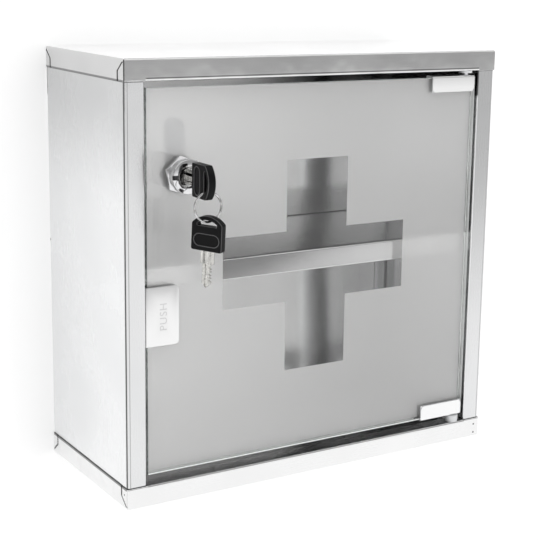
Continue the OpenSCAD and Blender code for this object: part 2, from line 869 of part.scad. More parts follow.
module key_recess() {
    straight = recess_length - recess_width;
    linear_extrude(recess_depth + past) translate([0, recess_v]) {
        square([straight, recess_width], center = true);
        for (side = [-1, 1]) translate([side * straight / 2, 0]) circle(d = recess_width);
    }
}

module key_head() {
    half_t = head_thickness / 2;
    difference() {
        translate([0, 0, -half_t]) linear_extrude(head_thickness) key_outline();
        for (turn = [0, 180]) rotate([0, turn, 0]) translate([0, 0, half_t - recess_depth]) key_recess();
        translate([-blade_width / 2 - snug, -past, -blade_thickness / 2 - snug])
            cube([blade_width + 2 * snug, blade_root + past, blade_thickness + 2 * snug]);
    }
}

// The metal blade: a root inside the head, a wide shoulder and a narrow pointed bar with notched edges
module key_blade() {
    flat_end = blade_length - blade_point;
    half_w_key = blade_width / 2;
    translate([0, 0, -blade_thickness / 2]) linear_extrude(blade_thickness) difference() {
        union() {
            translate([-half_w_key, 0]) square([blade_width, blade_root]);
            translate([-shoulder_width / 2, -shoulder_length]) square([shoulder_width, shoulder_length]);
            polygon([[-half_w_key, 0], [-half_w_key, -flat_end], [0, -blade_length], [half_w_key, -flat_end],
                     [half_w_key, 0]]);
        }
        for (side = [-1, 1], down = bitting)
            translate([side * half_w_key, -shoulder_length - down])
                rotate(45) square(bitting_size, center = true);
    }
}

// The first key stands out of the lock along -Y, with its width upright.
module at_key_one() {
    translate([lock_x, head_base, lock_up]) rotate([180, -90, 0]) children();
}

// The second key hangs from the ring's lowest point, turned about the vertical and leaning a little.
module at_key_two() {
    translate([lock_x, ring_y, ring_bottom]) rotate([90, 0, key_turn - 90]) rotate([0, 0, -key_two_lean])
        translate([key_two_h, -key_two_v, 0]) children();
}

module key_one_head() {
    color("#222222") at_key_one() key_head();
}

module key_one_blade() {
    color("silver") at_key_one() key_blade();
}

module key_ring() {
    color("silver") translate([lock_x, ring_y, ring_z]) rotate([90, 0, 0])
        rotate_extrude() translate([ring_r, 0]) circle(wire_r);
}

module key_two_head() {
    color("#222222") at_key_two() key_head();
}

module key_two_blade() {
    color("silver") at_key_two() key_blade();
}

// The plunger's rear is hollow, and the spring reaches into it.
module latch_plunger() {
    color("white") translate([plunger_x, 0, push_z]) difference() {
        bar_y(plunger / 2, plunger_face + magnet, plunger_back);
        bar_y(spring_d / 2 + fit_gap, plunger_back - plunger_hollow, plunger_back + past);
    }
}

module latch_magnet() {
    color("dimgray") translate([plunger_x, 0, push_z]) bar_y(magnet_d / 2, plunger_face, plunger_face + magnet);
}

top_cap();
bottom_pan();
left_side_panel();
right_side_panel();
back_panel();
shelf();
shelf_rail_left();
shelf_rail_right();
hinge_plate_top();
hinge_plate_bottom();
pivot_bush_top();
pivot_bush_bottom();
thrust_washer();
latch_bracket();
latch_housing();
latch_screws();
latch_spring();
door_glass();
frosted_film();
hinge_clip_top();
hinge_clip_bottom();
clip_liner_top();
clip_liner_bottom();
clip_screws();
hinge_pin_top();
hinge_pin_bottom();
push_plate();
push_plate_liner();
lock_gasket();
lock_front_nut();
lock_collar();
lock_barrel();
lock_rear_washer();
lock_rear_nut();
lock_plug();
lock_wafers();
lock_cam();
cam_washer();
cam_screw();
key_one_head();
key_one_blade();
key_ring();
key_two_head();
key_two_blade();
latch_plunger();
latch_magnet();
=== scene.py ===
# %% [markdown]
# A wall-hung stainless medicine cabinet, dressed in Blender over its CAD solids.
# The solids give every size and every moving body, so this lesson never measures twice: it asks the
# frame where a piece is, and then makes the same piece with the bends, edges and finishes of the real one.
# Lengths in this file are written in millimetres and turned into metres by one factor, because sheet
# metal is drawn in millimetres and Blender's unit here is the metre.

# %% Load the frame
import math
import bmesh
import bpy
import numpy as np
from mathutils import Matrix, Vector


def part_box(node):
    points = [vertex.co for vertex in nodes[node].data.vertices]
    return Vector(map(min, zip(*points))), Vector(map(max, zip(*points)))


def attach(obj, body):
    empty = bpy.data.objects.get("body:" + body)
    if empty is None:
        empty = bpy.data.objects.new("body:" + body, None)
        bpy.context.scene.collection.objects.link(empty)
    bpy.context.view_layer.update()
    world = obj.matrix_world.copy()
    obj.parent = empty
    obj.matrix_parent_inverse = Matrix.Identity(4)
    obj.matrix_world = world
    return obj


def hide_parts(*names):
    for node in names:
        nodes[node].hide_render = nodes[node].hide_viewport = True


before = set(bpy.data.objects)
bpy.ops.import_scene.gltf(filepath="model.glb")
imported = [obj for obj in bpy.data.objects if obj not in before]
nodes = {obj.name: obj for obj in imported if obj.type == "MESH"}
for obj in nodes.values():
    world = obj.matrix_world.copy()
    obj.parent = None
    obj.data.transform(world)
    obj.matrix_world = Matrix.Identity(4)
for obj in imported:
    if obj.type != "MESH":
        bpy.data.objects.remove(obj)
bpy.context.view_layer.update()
MM = 0.001


def corners(node):
    """The lowest and highest corner of a CAD node, in millimetres, as two numpy arrays."""
    low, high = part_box(node)
    return np.array(low) / MM, np.array(high) / MM


# %% [markdown]
# The sizes that several pieces share are read off the solids once. A name such as SHEET or FRONT then
# means the same thing in every cell, and a changed model moves all of the dressing with it.

# %% Shared sizes
cap_low, cap_high = corners("top_cap")
side_low, side_high = corners("left_side_panel")
glass_low, glass_high = corners("door_glass")
shelf_low, shelf_high = corners("shelf")
plate_low, plate_high = corners("push_plate")
collar_low, collar_high = corners("lock_collar")
SHEET = 0.8
BEND = 1.8
FRONT = cap_low[1]
HALF_W = cap_high[0]
HALF_H = cap_high[2]
OPENING_W = -side_high[0]
OPENING_H = cap_low[2]
RETURN_DEPTH = 12.0
SHELF_TOP = shelf_high[2]
SHELF_FORE = shelf_low[1]
LOCK_X = (collar_low[0] + collar_high[0]) / 2
LOCK_Z = (collar_low[2] + collar_high[2]) / 2
print("opening half width and height, mm:", round(OPENING_W, 2), round(OPENING_H, 2))
print("lock axis, mm:", round(LOCK_X, 2), round(LOCK_Z, 2))

# %% [markdown]
# A camera that matches a photograph is found by fitting: pixels of known corners are compared with the
# corners' projection until they agree. The result is a place, two angles, a small roll and a lens.
# The small shift keeps the photograph's framing, whose centre was cropped.

# %% The camera
CAMERA_PLACE = (-0.50211, -0.90178, 0.21103)
CAMERA_AZIMUTH = -0.578258
CAMERA_ELEVATION = 0.206211
CAMERA_ROLL = 0.0214995
CAMERA_LENS = 89.65
CAMERA_SENSOR = 36
CAMERA_SHIFT = (-0.1, -0.05)
CAMERA_REACH = (0.05, 20)


def camera_matrix(place, azimuth, elevation, roll):
    """Columns: right turned by the roll, up turned by the roll, and the direction back to the camera."""
    back = Vector((math.sin(azimuth) * math.cos(elevation), -math.cos(azimuth) * math.cos(elevation),
                   math.sin(elevation)))
    right = Vector((math.cos(azimuth), math.sin(azimuth), 0))
    up = back.cross(right)
    turned_right = math.cos(roll) * right + math.sin(roll) * up
    turned_up = math.cos(roll) * up - math.sin(roll) * right
    matrix = Matrix((turned_right, turned_up, back)).transposed().to_4x4()
    matrix.translation = Vector(place)
    return matrix


def in_scene(name, data):
    """A new object with this mesh, curve, lamp or camera, linked to the scene."""
    made = bpy.data.objects.new(name, data)
    bpy.context.scene.collection.objects.link(made)
    return made


camera_data = bpy.data.cameras.new("photo_camera")
camera_data.sensor_width = CAMERA_SENSOR
camera_data.lens = CAMERA_LENS
camera_data.shift_x, camera_data.shift_y = CAMERA_SHIFT
camera_data.clip_start, camera_data.clip_end = CAMERA_REACH
camera = in_scene("photo_camera", camera_data)
camera.matrix_world = camera_matrix(CAMERA_PLACE, CAMERA_AZIMUTH, CAMERA_ELEVATION, CAMERA_ROLL)
bpy.context.scene.camera = camera
bpy.context.scene.view_settings.view_transform = "Standard"
print("lens, mm:", camera_data.lens)

# %% [markdown]
# Materials first. Each one is a small sum: brushed metal is a grey, plus a slow cloud, plus a fine grain.
# Written with Blender's node editor calls such a sum takes a page, so one class wraps a socket and lets
# Python's own plus, minus and times add the Math nodes. Everything else goes through one method, node.

# %% Shader arithmetic
class Value:
    """A socket of a node tree, on which arithmetic adds Math nodes."""

    def __init__(self, paint, socket):
        self.paint = paint
        self.socket = socket

    def math(self, operation, *terms):
        return self.paint.node("ShaderNodeMath", {"operation": operation},
                               {0: self, **dict(enumerate(terms, 1))})

    def reflected(self, operation, first):
        return self.paint.node("ShaderNodeMath", {"operation": operation}, {0: first, 1: self})

    def __add__(self, other):
        return self.math("ADD", other)

    def __radd__(self, other):
        return self.reflected("ADD", other)

    def __sub__(self, other):
        return self.math("SUBTRACT", other)

    def __rsub__(self, other):
        return self.reflected("SUBTRACT", other)

    def __mul__(self, other):
        return self.math("MULTIPLY", other)

    def __rmul__(self, other):
        return self.reflected("MULTIPLY", other)

    def power(self, other):
        return self.math("POWER", other)

    def size(self):
        return self.math("ABSOLUTE")

    def most(self, other):
        return self.math("MAXIMUM", other)

    def clamp(self):
        return self.paint.node("ShaderNodeClamp", {}, {"Value": self})

    def above(self, edge, soft=0.1):
        """0 below edge - soft, 1 above edge + soft, with a smooth rise between."""
        return self.paint.node("ShaderNodeMapRange", {"interpolation_type": "SMOOTHSTEP"},
                               {"Value": self, "From Min": edge - soft, "From Max": edge + soft})

    def below(self, edge, soft=0.1):
        return 1 - self.above(edge, soft)

    def near(self, middle, half, soft=0.1):
        """1 less than half away from middle, else 0."""
        return (self - middle).size().below(half, soft)


def fill_ramp(elements, stops):
    """Gives a colour ramp's elements the (position, grey) stops."""
    while len(elements) < len(stops):
        elements.new(0.5)
    for element, (place, grey) in zip(elements, stops):
        element.position = place
        element.color = (grey, grey, grey, 1)


class Nodes:
    """A node tree, with one method that sets a socket and one that adds a node."""

    def __init__(self, tree):
        self.tree = tree

    def set(self, node, socket, value):
        if isinstance(value, Value):
            self.tree.links.new(value.socket, node.inputs[socket])
        elif isinstance(value, bpy.types.NodeSocket):
            self.tree.links.new(value, node.inputs[socket])
        else:
            node.inputs[socket].default_value = value

    def node(self, kind, settings, sockets, output=0):
        """Adds one node: its settings first, then a value or a link for each socket."""
        node = self.tree.nodes.new(kind)
        for name, value in settings.items():
            if name == "stops":
                fill_ramp(node.color_ramp.elements, value)
            else:
                setattr(node, name, value)
        for socket, value in sockets.items():
            self.set(node, socket, value)
        return Value(self, node.outputs[output])


class Paint(Nodes):
    """A material under construction: its shader, and the nodes that a surface is painted with."""

    def __init__(self, name, **constants):
        self.material = bpy.data.materials.new(name)
        self.material.use_nodes = True
        super().__init__(self.material.node_tree)
        self.shader = self.tree.nodes["Principled BSDF"]
        self.output = self.tree.nodes["Material Output"]
        self.use(**constants)

    def use(self, **inputs):
        """Gives the shader constants, and feeds what varies over the surface into it."""
        for socket, value in inputs.items():
            self.set(self.shader, socket.replace("_", " "), value)
        return self.material

    def place(self):
        """The point in the object's own coordinates, which is the model's frame, in metres."""
        return self.node("ShaderNodeTexCoord", {}, {}, "Object")

    def axes(self):
        """The point's x, y and z in millimetres."""
        split = self.node("ShaderNodeSeparateXYZ", {}, {0: self.place()})
        outputs = split.socket.node.outputs
        return tuple(Value(self, outputs[i]) * (1 / MM) for i in range(3))

    def noise(self, scale, stretch=(1, 1, 1), detail=2.0):
        """Noise of about scale cells a metre, with the point stretched along each axis first."""
        stretched = self.node("ShaderNodeMapping", {}, {"Vector": self.place(), "Scale": stretch})
        return self.node("ShaderNodeTexNoise", {}, {"Vector": stretched, "Scale": scale, "Detail": detail})

    def mix(self, share, first, second):
        """A colour between first at share 0 and second at share 1."""
        first, second = ((*tone, 1) if isinstance(tone, tuple) else tone for tone in (first, second))
        return self.node("ShaderNodeMix", {"data_type": "RGBA"}, {0: share, 6: first, 7: second}, 2)

    def bump(self, height, distance, normal=None):
        """A bend of the surface's normal, as if it were raised by height times distance in metres."""
        sockets = {"Height": height, "Distance": distance, "Strength": 1.0}
        if normal is not None:
            sockets["Normal"] = normal
        return self.node("ShaderNodeBump", {}, sockets)


def darker(tone, share):
    """A tone with each of its parts times share."""
    return tuple(share * part for part in tone)


print("shader helpers ready")

# %% [markdown]
# Satin stainless is a mirror with two faults. It is cloudy, because thin sheet is never quite flat, and
# it is streaked, because it was rolled and lightly brushed along its length. The cloud bends the normal
# very slowly over centimetres, and the grain changes the roughness in long thin cells, made by noise that
# is stretched along the brushing. Both are needed: a grain alone looks like a flat drawing of metal.

# %% Stainless sheet
STAINLESS = (0.83, 0.835, 0.84)
UPRIGHT = (0.87, 0.875, 0.88)
BRIGHT = (0.99, 0.99, 0.99)
WORD_GREY = (0.8, 0.8, 0.8)
SHADE_AND_WELD_TONE = (0.03, 0.03, 0.03)
GRAIN_CELLS = 2600
GRAIN_STRETCH = 0.02
GRAIN_DEPTH = 0.000002
GRAIN_SHARE = 0.5
CLOUD_CELLS = 22
CLOUD_SHARE = 1.6
CLOUD_ROUGH = 0.1
MILL_POLISH = 0.5


def stainless(name, along, tone=STAINLESS, rough=0.27, wave=0.0005, grain=0.03, marks=None, bow=None,
              gloss=None, stain=0.92):
    """Brushed sheet: colour and roughness follow noise that is drawn out along one axis. The mask of dark
    places gives painted shade in creases and hidden places, and real welds; bow is a height in metres that
    the sheet follows, and gloss the places where the sheet keeps its mill polish. The darkest clouds keep
    stain times the tone."""
    paint = Paint(name, Metallic=1.0)
    fine = paint.noise(GRAIN_CELLS, tuple(GRAIN_STRETCH if axis == along else 1.0 for axis in "xyz"))
    cloud = paint.noise(CLOUD_CELLS)
    share = 0.5 + (fine - 0.5) * GRAIN_SHARE + (cloud - 0.5) * CLOUD_SHARE
    colour = paint.mix(share.clamp(), darker(tone, stain), tone)
    if marks:
        # Painted shade and weld spots pull the colour towards a near black here.
        colour = paint.mix(marks(paint), colour, SHADE_AND_WELD_TONE)
    bent = paint.bump(cloud, wave)
    if bow:
        bent = paint.bump(bow(paint), 1.0, bent)
    roughness = rough + (fine - 0.5) * grain * 2 + (cloud - 0.5) * CLOUD_ROUGH
    if gloss:
        roughness = roughness * (1 - gloss(paint) * MILL_POLISH)
    return paint.use(Base_Color=colour, Roughness=roughness, Normal=paint.bump(fine, GRAIN_DEPTH, bent))


sheet_inside = stainless("satin_stainless_inside", "x", BRIGHT, 0.2)
sheet_clip = stainless("polished_stainless_clip", "x", BRIGHT, 0.2, 0.0002, stain=0.97)
plate_white = stainless("satin_push_plate", "z", BRIGHT, 0.36, 0.0002, stain=0.99)
pressed_grey = stainless("pressed_word_floor", "z", WORD_GREY, 0.4, 0.0002)
print("stainless:", sheet_inside.name, sheet_clip.name, plate_white.name)

# %% [markdown]
# Painted shade, and on the pan the real welds, are masks over x, y and z in millimetres: 1 where a line
# or a place is dark, else 0. Where cap and pan lap over a panel, the crevice under their edge is painted
# dark, and a panel is painted darker towards the cap. The inside is painted dark behind the top of the door.

# %% Painted shade on the side panels
# How dark the side panels' painted shade gets, as a share of the way to the near black tone.
PAINTED_SHADE_SHARE = 0.9
SKIN = 1.2
RIGHT_HALF = (0, 1)
SHADE_DROP = 19
SHADE_DARK = 0.55
SHADE_MORE = 0.4
HINGE_SIDE = (30, 40)
LAP = 0.5
BEND_REACH = 1.4
BEND_BEHIND = (FRONT + 2.1, 0.7, 0.15)
BEHIND_DARK = 0.97
BEND_BESIDE = (HALF_W - 2.9, 0.3, 0.15)
BESIDE_DARK = 0.5
LAP_SOFT = 0.12
SIDE_FADE = (85, 45)
SIDE_DIM = 0.33
LEFT_FADE = (75, 30)
LEFT_DIM = 0.1
RIGHT_FADE = (5, 85)
RIGHT_DIM = 0.42
CORNER_REACH = 3.4
CORNER_DARK = 0.8
LOW_DARK = 0.35
LOW_FADE = (0, 12)
LOW_BACK = (-14, 2)


def inner_face(y):
    """1 on the back's inner face and all that is in front of it, 0 on the outside."""
    return y.below(-SHEET / 2)


def rear_shade(x, y, z):
    """How dark the painted shade inside is behind the top of the door: dark, and darker towards the hinges.
    The sheets' outside, behind half a sheet from the wall, gets none of it."""
    dark = SHADE_DARK + SHADE_MORE * x.above(*HINGE_SIDE)
    return z.above(OPENING_H - SHADE_DROP, 2) * dark * inner_face(y)


def polished_inside(paint):
    """1 on the side panel's inner faces, which keep the mill's polish, and 0 on the brushed outside."""
    x, y, _ = paint.axes()
    return x.size().below(HALF_W - SKIN) * y.above(FRONT + SKIN)


def side_painted_shade(paint):
    """Painted shade: dark under the edges of cap and pan, in two lines beside the panel's front bend, and
    inside in the rear corners and low on the right. Outside it is painted darker towards the cap, most on
    the right stile."""
    x, y, z = paint.axes()
    wide = x.size()
    inside = polished_inside(paint)
    stile = y.below(FRONT + SKIN)
    right = x.above(*RIGHT_HALF)
    lap = z.size().above(OPENING_H - LAP, LAP_SOFT)
    behind_bend = y.near(*BEND_BEHIND) * wide.above(HALF_W - BEND_REACH)
    beside_bend = wide.near(*BEND_BESIDE) * y.below(FRONT + BEND_REACH)
    side_dim = z.above(*SIDE_FADE) * SIDE_DIM * (1 - inside) * (1 - stile)
    left_dim = stile * z.above(*LEFT_FADE) * LEFT_DIM * (1 - right)
    right_dim = stile * z.above(*RIGHT_FADE) * RIGHT_DIM * right
    rear_corner = inside * wide.above(HALF_W - CORNER_REACH, 0.4) * y.above(-CORNER_REACH, 0.4) * CORNER_DARK
    low_corner = inside * right * y.above(*LOW_BACK) * z.below(*LOW_FADE) * LOW_DARK
    lines = lap.most(behind_bend * BEHIND_DARK).most(beside_bend * BESIDE_DARK)
    hidden = rear_corner.most(low_corner).most(inside * rear_shade(x, y, z))
    return lines.most(side_dim + left_dim + right_dim).most(hidden) * PAINTED_SHADE_SHARE


sheet_upright = stainless("satin_stainless_along_z", "z", UPRIGHT, marks=side_painted_shade, gloss=polished_inside)
print("side panels:", sheet_upright.name)

# %% [markdown]
# Cap and pan share the painted shade on the lip over and under the door, and their sides are painted
# darker. On the pan, spot welds leave small dark rounds beside the right front corner and on each tab, a
# dark line runs along the front flange's top edge, and painted shade darkens a strip of the floor. On the
# cap a painted dark line runs down each front corner and along the hem over the door. The cap's front flange
# leans back a little and has soft dents along it, which is a bow: a height that bends the reflections of a
# sheet that looks flat.

# %% Welds and painted shade on cap and pan
WELD_R = 0.65
WELD_ACROSS = 144.4
WELD_UP = (146.4, 139.8)
WELD_TAB_Y = -125.4
WELD_SOFT = 0.15
LIP_DIM = 0.78
CAP_SIDE_DIM = 0.33
PAN_SIDE_DIM = 0.14
SIDE_SKIN = 0.6
EDGE_LINE_DARK = 0.5
HEM_UP = 1.9
HEM_DARK = 0.8
CORNER_LINE = 0.9
FLOOR_STRIP = (-83, 7, 2)
FLOOR_TOP = 3
FLOOR_EDGE = 5
FLOOR_DARK = 0.7
FLOOR_MORE = 0.25
FLOOR_RIGHT = (60, 40)
FLANGE_LEAN = 0.133
DENT_CELLS = 38
DENT_DEPTH = 0.0012


def far(a, b):
    """How far a point is from the origin of two axes."""
    return (a * a + b * b).power(0.5)


def weld_marks(x, y, z):
    """1 inside a round of radius WELD_R about each weld, on the right of the front and on both tabs."""
    wide, tall = x.size(), z.size()
    upper, lower = (far(wide - WELD_ACROSS, tall - up).below(WELD_R, WELD_SOFT) for up in WELD_UP)
    front = upper.most(lower) * y.below(FRONT + 0.4, 0.05) * x.above(*RIGHT_HALF)
    tab = far(y - WELD_TAB_Y, tall - WELD_UP[1]).below(WELD_R, WELD_SOFT) * wide.above(HALF_W - 0.4, 0.05)
    return front.most(tab)


def lip_dim(y, z):
    """Painted shade on the lip over and under the door, as if from glass and clips, all the way back."""
    return y.above(FRONT + 1, 0.3) * z.size().near(OPENING_H + SHEET / 2, 0.8, 0.2) * LIP_DIM


def bend_line(x, y):
    """1 along the middle of a tray's upright bends, where side and front are equally far away."""
    return ((HALF_W - x.size()) - (y - FRONT)).size().below(0.55, 0.2) * y.below(FRONT + 3)


def pan_welds_and_shade(paint):
    """Real welds; painted shade on the lip, the darker sides and a strip of the floor; and a dark line along
    the front flange's top edge.
    """
    x, y, z = paint.axes()
    floor = z.below(FLOOR_TOP - HALF_H, 0.5) * z.above(0.5 - HALF_H)
    strip = floor * y.near(*FLOOR_STRIP) * x.size().below(HALF_W - FLOOR_EDGE, 1)
    side_dim = x.size().above(HALF_W - SIDE_SKIN) * PAN_SIDE_DIM
    edge_line = z.near(-OPENING_H - LAP, 0.3, 0.2) * y.below(FRONT + SIDE_SKIN)
    marks = weld_marks(x, y, z).most(lip_dim(y, z)).most(edge_line * EDGE_LINE_DARK).most(side_dim)
    return marks.most(strip * (FLOOR_DARK + FLOOR_MORE * x.above(*FLOOR_RIGHT)))


def cap_painted_shade(paint):
    """Painted shade: the line down each front corner, the line over the hem of the opening, the darker sides
    and the lip.
    """
    x, y, z = paint.axes()
    hem = z.near(OPENING_H + HEM_UP, 0.3, 0.25) * x.size().below(OPENING_W - 0.5, 0.3) * y.below(FRONT + 0.5)
    side_dim = x.size().above(HALF_W - SIDE_SKIN) * CAP_SIDE_DIM
    lines = (hem * HEM_DARK).most(bend_line(x, y) * CORNER_LINE * z.below(HALF_H - 1, 0.3))
    return lines.most(side_dim).most(lip_dim(y, z))


def flange_bow(paint):
    """Height over the flange's plane: z times the lean, on the front face above the opening only."""
    _, y, z = paint.axes()
    on_front = y.below(FRONT + 0.5) * z.above(OPENING_H + 0.5, 0.4)
    dents = (paint.noise(DENT_CELLS) - 0.5) * DENT_DEPTH
    return ((OPENING_H - z) * (FLANGE_LEAN * MM) + dents) * on_front


sheet_cap = stainless("satin_stainless_cap", "x", BRIGHT, 0.24, marks=cap_painted_shade, bow=flange_bow, stain=0.86)
sheet_pan = stainless("satin_stainless_pan", "x", BRIGHT, marks=pan_welds_and_shade)
print("cap and pan:", sheet_cap.name, sheet_pan.name)

# %% [markdown]
# The back and the shelf are what shows through the clear cross. The back isn't flat: it turns a little
# from left to right, and bows away below, which moves what it mirrors. It is painted darker, as painted
# shade, where the shelf meets it, behind the top of the door and low on the right. The shelf's top has
# painted shade, as if from the door, and its lip leans back at its left end. The lip's middle has painted
# shade too, and its two edges stay bright.

# %% Painted shade on back and shelf
CONTACT_SHADE_DARK = 0.85
BACK_LOW_X = (100, 25)
BACK_TURN = 0.02
BOW_START = -40
BACK_BOW = 0.0015
TOP_DARK = 0.9
TOP_LESS = 0.3
SHELF_RIGHT = (-10, 60)
LIP_HEIGHT = 15
LIP_BRIGHT = 0.9
LIP_DARK = 0.52
LIP_LESS = 0.22
LIP_LEFT_END = (-97, 12)
LIP_RIGHT_END = (90, 25)
LIP_RIGHT = (0, 60)
LIP_LEAN = 0.2
LEAN_FADE = (-10, 75)
FORE_LINE = (SHELF_FORE + 3, 1.6, 0.3)
FORE_DARK = 0.92


def back_painted_shade(paint):
    """Painted shade: a dark line where the shelf meets the back, the top behind the door, and the low right
    corner, on the inner face only.
    """
    x, y, z = paint.axes()
    shelf_contact_shade = z.near(SHELF_TOP - 0.2, 0.7, 0.3) * CONTACT_SHADE_DARK
    low_corner = x.above(*BACK_LOW_X) * z.below(*LOW_FADE) * LOW_DARK
    return shelf_contact_shade.most(low_corner).most(rear_shade(x, y, z)) * inner_face(y)


def back_bow(paint):
    """The back's height grows by BACK_TURN for each length to the right, and below BOW_START by half
    of BACK_BOW times the square of the way down, in millimetres."""
    x, _, z = paint.axes()
    low = (BOW_START - z).most(0)
    return x * (BACK_TURN * MM) + low * low * (BACK_BOW / 2 * MM)


def shelf_painted_shade(paint):
    """Painted shade: the shelf's top, as if in the door's shade, more on the left, the lip's middle, and a
    line on the top behind the lip's bend.
    """
    x, y, z = paint.axes()
    on_top = z.above(SHELF_TOP - 0.3)
    top = on_top * (TOP_DARK - TOP_LESS * x.above(*SHELF_RIGHT))
    lip_middle = z.near(SHELF_TOP - LIP_HEIGHT / 2, LIP_HEIGHT / 2 - LIP_BRIGHT, 0.2)
    lip_length = x.above(*LIP_LEFT_END) * x.below(*LIP_RIGHT_END)
    lip = y.below(SHELF_FORE + 0.3) * lip_length * lip_middle * (LIP_DARK - LIP_LESS * x.above(*LIP_RIGHT))
    behind_bend = on_top * y.near(*FORE_LINE) * FORE_DARK
    return top.most(lip).most(behind_bend)


def lip_bow(paint):
    """The shelf's lip leans back at its left end and stands straight at its right end."""
    x, _, z = paint.axes()
    return (SHELF_TOP - z) * (1 - x.above(*LEAN_FADE)) * (LIP_LEAN * MM)


sheet_back = stainless("satin_stainless_back", "z", BRIGHT, 0.13, 0.0001, 0.02, marks=back_painted_shade,
                       bow=back_bow)
sheet_shelf = stainless("satin_stainless_shelf", "x", BRIGHT, 0.22, marks=shelf_painted_shade, bow=lip_bow)
print("back and shelf:", sheet_back.name, sheet_shelf.name)

# %% [markdown]
# The smaller finishes: chrome on the lock's front, nickel on the keys, zinc on the hidden hardware,
# white and grey mouldings, black key heads and rubber. Each has its own small fault, such as the scratches
# on a key or the fine skin of moulded plastic, because a perfectly even surface looks like a toy.

# %% Small finishes
SCRATCH_STRETCHES = ((1, 1, 0.15), (0.2, 1, 1))
SCRATCH_ROUGH = 0.3
MOULD_CELLS = 90
MOULD_DARK = 0.86
SKIN_ROUGH = 0.25


def scratched_metal(name, tone, rough, cells=900, depth=0.00001, dark=0.75):
    """A metal whose roughness and colour follow short crossing scratches."""
    paint = Paint(name, Metallic=1.0)
    one, two = (paint.noise(cells, stretch, 3.0) for stretch in SCRATCH_STRETCHES)
    wear = one * 0.5 + two * 0.5
    colour = paint.mix(wear.above(0.5, 0.2), darker(tone, dark), tone)
    return paint.use(Base_Color=colour, Roughness=rough + (wear - 0.5) * SCRATCH_ROUGH,
                     Normal=paint.bump(wear, depth))


def moulded(name, tone, rough, cells=1800, depth=0.00002, gloss=0.5):
    """Plastic with the fine skin that a mould leaves, and a slow change of tone."""
    paint = Paint(name, Specular_IOR_Level=gloss)
    skin = paint.noise(cells, detail=3.0)
    slow = paint.noise(MOULD_CELLS)
    colour = paint.mix(slow.above(0.5, 0.3), darker(tone, MOULD_DARK), tone)
    return paint.use(Base_Color=colour, Roughness=rough + (skin - 0.5) * SKIN_ROUGH,
                     Normal=paint.bump(skin, depth))


chrome = scratched_metal("polished_chrome", (0.84, 0.84, 0.85), 0.08, 500, 0.000002, 0.93)
chrome_wire = scratched_metal("nickelled_ring_wire", (0.86, 0.86, 0.86), 0.14, 260, 0.00001, 0.2)
die_cast = scratched_metal("nickelled_die_casting", (0.88, 0.88, 0.87), 0.2, 1300, 0.0001, 0.06)
barrel_black = scratched_metal("blackened_die_casting", (0.14, 0.14, 0.14), 0.35, 900, 0.00003, 0.4)
nickel = scratched_metal("scratched_nickel", (0.78, 0.77, 0.74), 0.22, 1100, 0.00002, 0.6)
zinc = scratched_metal("zinc_plate", (0.62, 0.63, 0.65), 0.35, 700, 0.00001, 0.8)
pin_steel = scratched_metal("ground_pin_steel", (0.7, 0.7, 0.72), 0.2, 900, 0.000004, 0.85)
magnet_skin = scratched_metal("nickelled_magnet", (0.4, 0.4, 0.42), 0.3, 700, 0.00001, 0.8)
white_nylon = moulded("white_nylon", (0.84, 0.85, 0.86), 0.45)
grey_acetal = moulded("grey_acetal", (0.3, 0.31, 0.32), 0.5)
black_plastic = moulded("black_key_plastic", (0.005, 0.005, 0.0055), 0.4, 2600, 0.00003, 0.13)
# A lighter plastic for the key heads' rims and rounded edges: a painted highlight.
highlight_plastic = moulded("key_edge_painted_highlight", (0.085, 0.085, 0.087), 0.35, 1500)
rubber = moulded("black_rubber", (0.04, 0.04, 0.042), 0.8, 2000, 0.00005)
print("materials so far:", len(bpy.data.materials))

# %% [markdown]
# The door is clear glass with a frosted film behind it, and a cross is cut out of the film. Clear glass is
# mostly hole and a little mirror, so it is made see-through by its alpha and keeps a mirror's shine.
# Its polished edges are denser, because there the eye looks along the sheet, so a mask on the distance
# to the edge raises the alpha. The left edge is painted dark and mottled, as painted shade, and the others
# are painted pale, as a painted highlight. The film scatters: half of the light comes back white, and half
# goes on, blurred by a high roughness, so that the shelf behind it shows as a soft band. Its rear face, on
# which light arrives from the room through the glass, is smooth, so that a ray is blurred once and not
# twice.

# %% Glass and film
EDGE_DEPTH = 0.35
EDGE_SOFT = 0.02
LOW_RIM = 0.9
MOTTLE_CELLS = 700
GLASS_ALPHA = 0.07
EDGE_ALPHA = 0.8
GLASS_GREY = (0.5, 0.5, 0.5)
GLASS_EDGE = (0.93, 0.95, 0.94)
DARK_EDGE = ((0.1, 0.11, 0.105), (0.34, 0.37, 0.36))
FILM_IOR = 1.4
FILM_ROUGH = 0.62
FILM_WHITE = ((0.93, 0.93, 0.925), (1.0, 1.0, 0.995))
FILM_BACK = (0.97, 0.97, 0.97, 1)

glass_paint = Paint("clear_glass", Metallic=1.0, Roughness=0.03)
glass_x, _, glass_z = glass_paint.axes()
# Painted shade on the left edge, which is dark and mottled, and a painted highlight on the pale edges.
left_edge = glass_x.below(glass_low[0] + EDGE_DEPTH, EDGE_SOFT)
right_edge = glass_x.above(glass_high[0] - EDGE_DEPTH, EDGE_SOFT)
glass_middle = (glass_low[2] + glass_high[2]) / 2
glass_half = (glass_high[2] - glass_low[2]) / 2
flat_edges = (glass_z - glass_middle).size().above(glass_half - EDGE_DEPTH, EDGE_SOFT)
low_rim = glass_z.below(glass_low[2] + LOW_RIM, 0.05)
pale_edge = flat_edges.most(right_edge).most(low_rim)
mottled = glass_paint.noise(MOTTLE_CELLS).above(0.5, 0.15)
flat_colour = glass_paint.mix(pale_edge, GLASS_GREY, GLASS_EDGE)
clear_glass = glass_paint.use(
    Base_Color=glass_paint.mix(left_edge, flat_colour, glass_paint.mix(mottled, *DARK_EDGE)),
    Alpha=GLASS_ALPHA + left_edge.most(pale_edge) * EDGE_ALPHA)
film_paint = Paint("frosted_film", IOR=FILM_IOR, Transmission_Weight=0.5)
film_cloud = film_paint.noise(30)
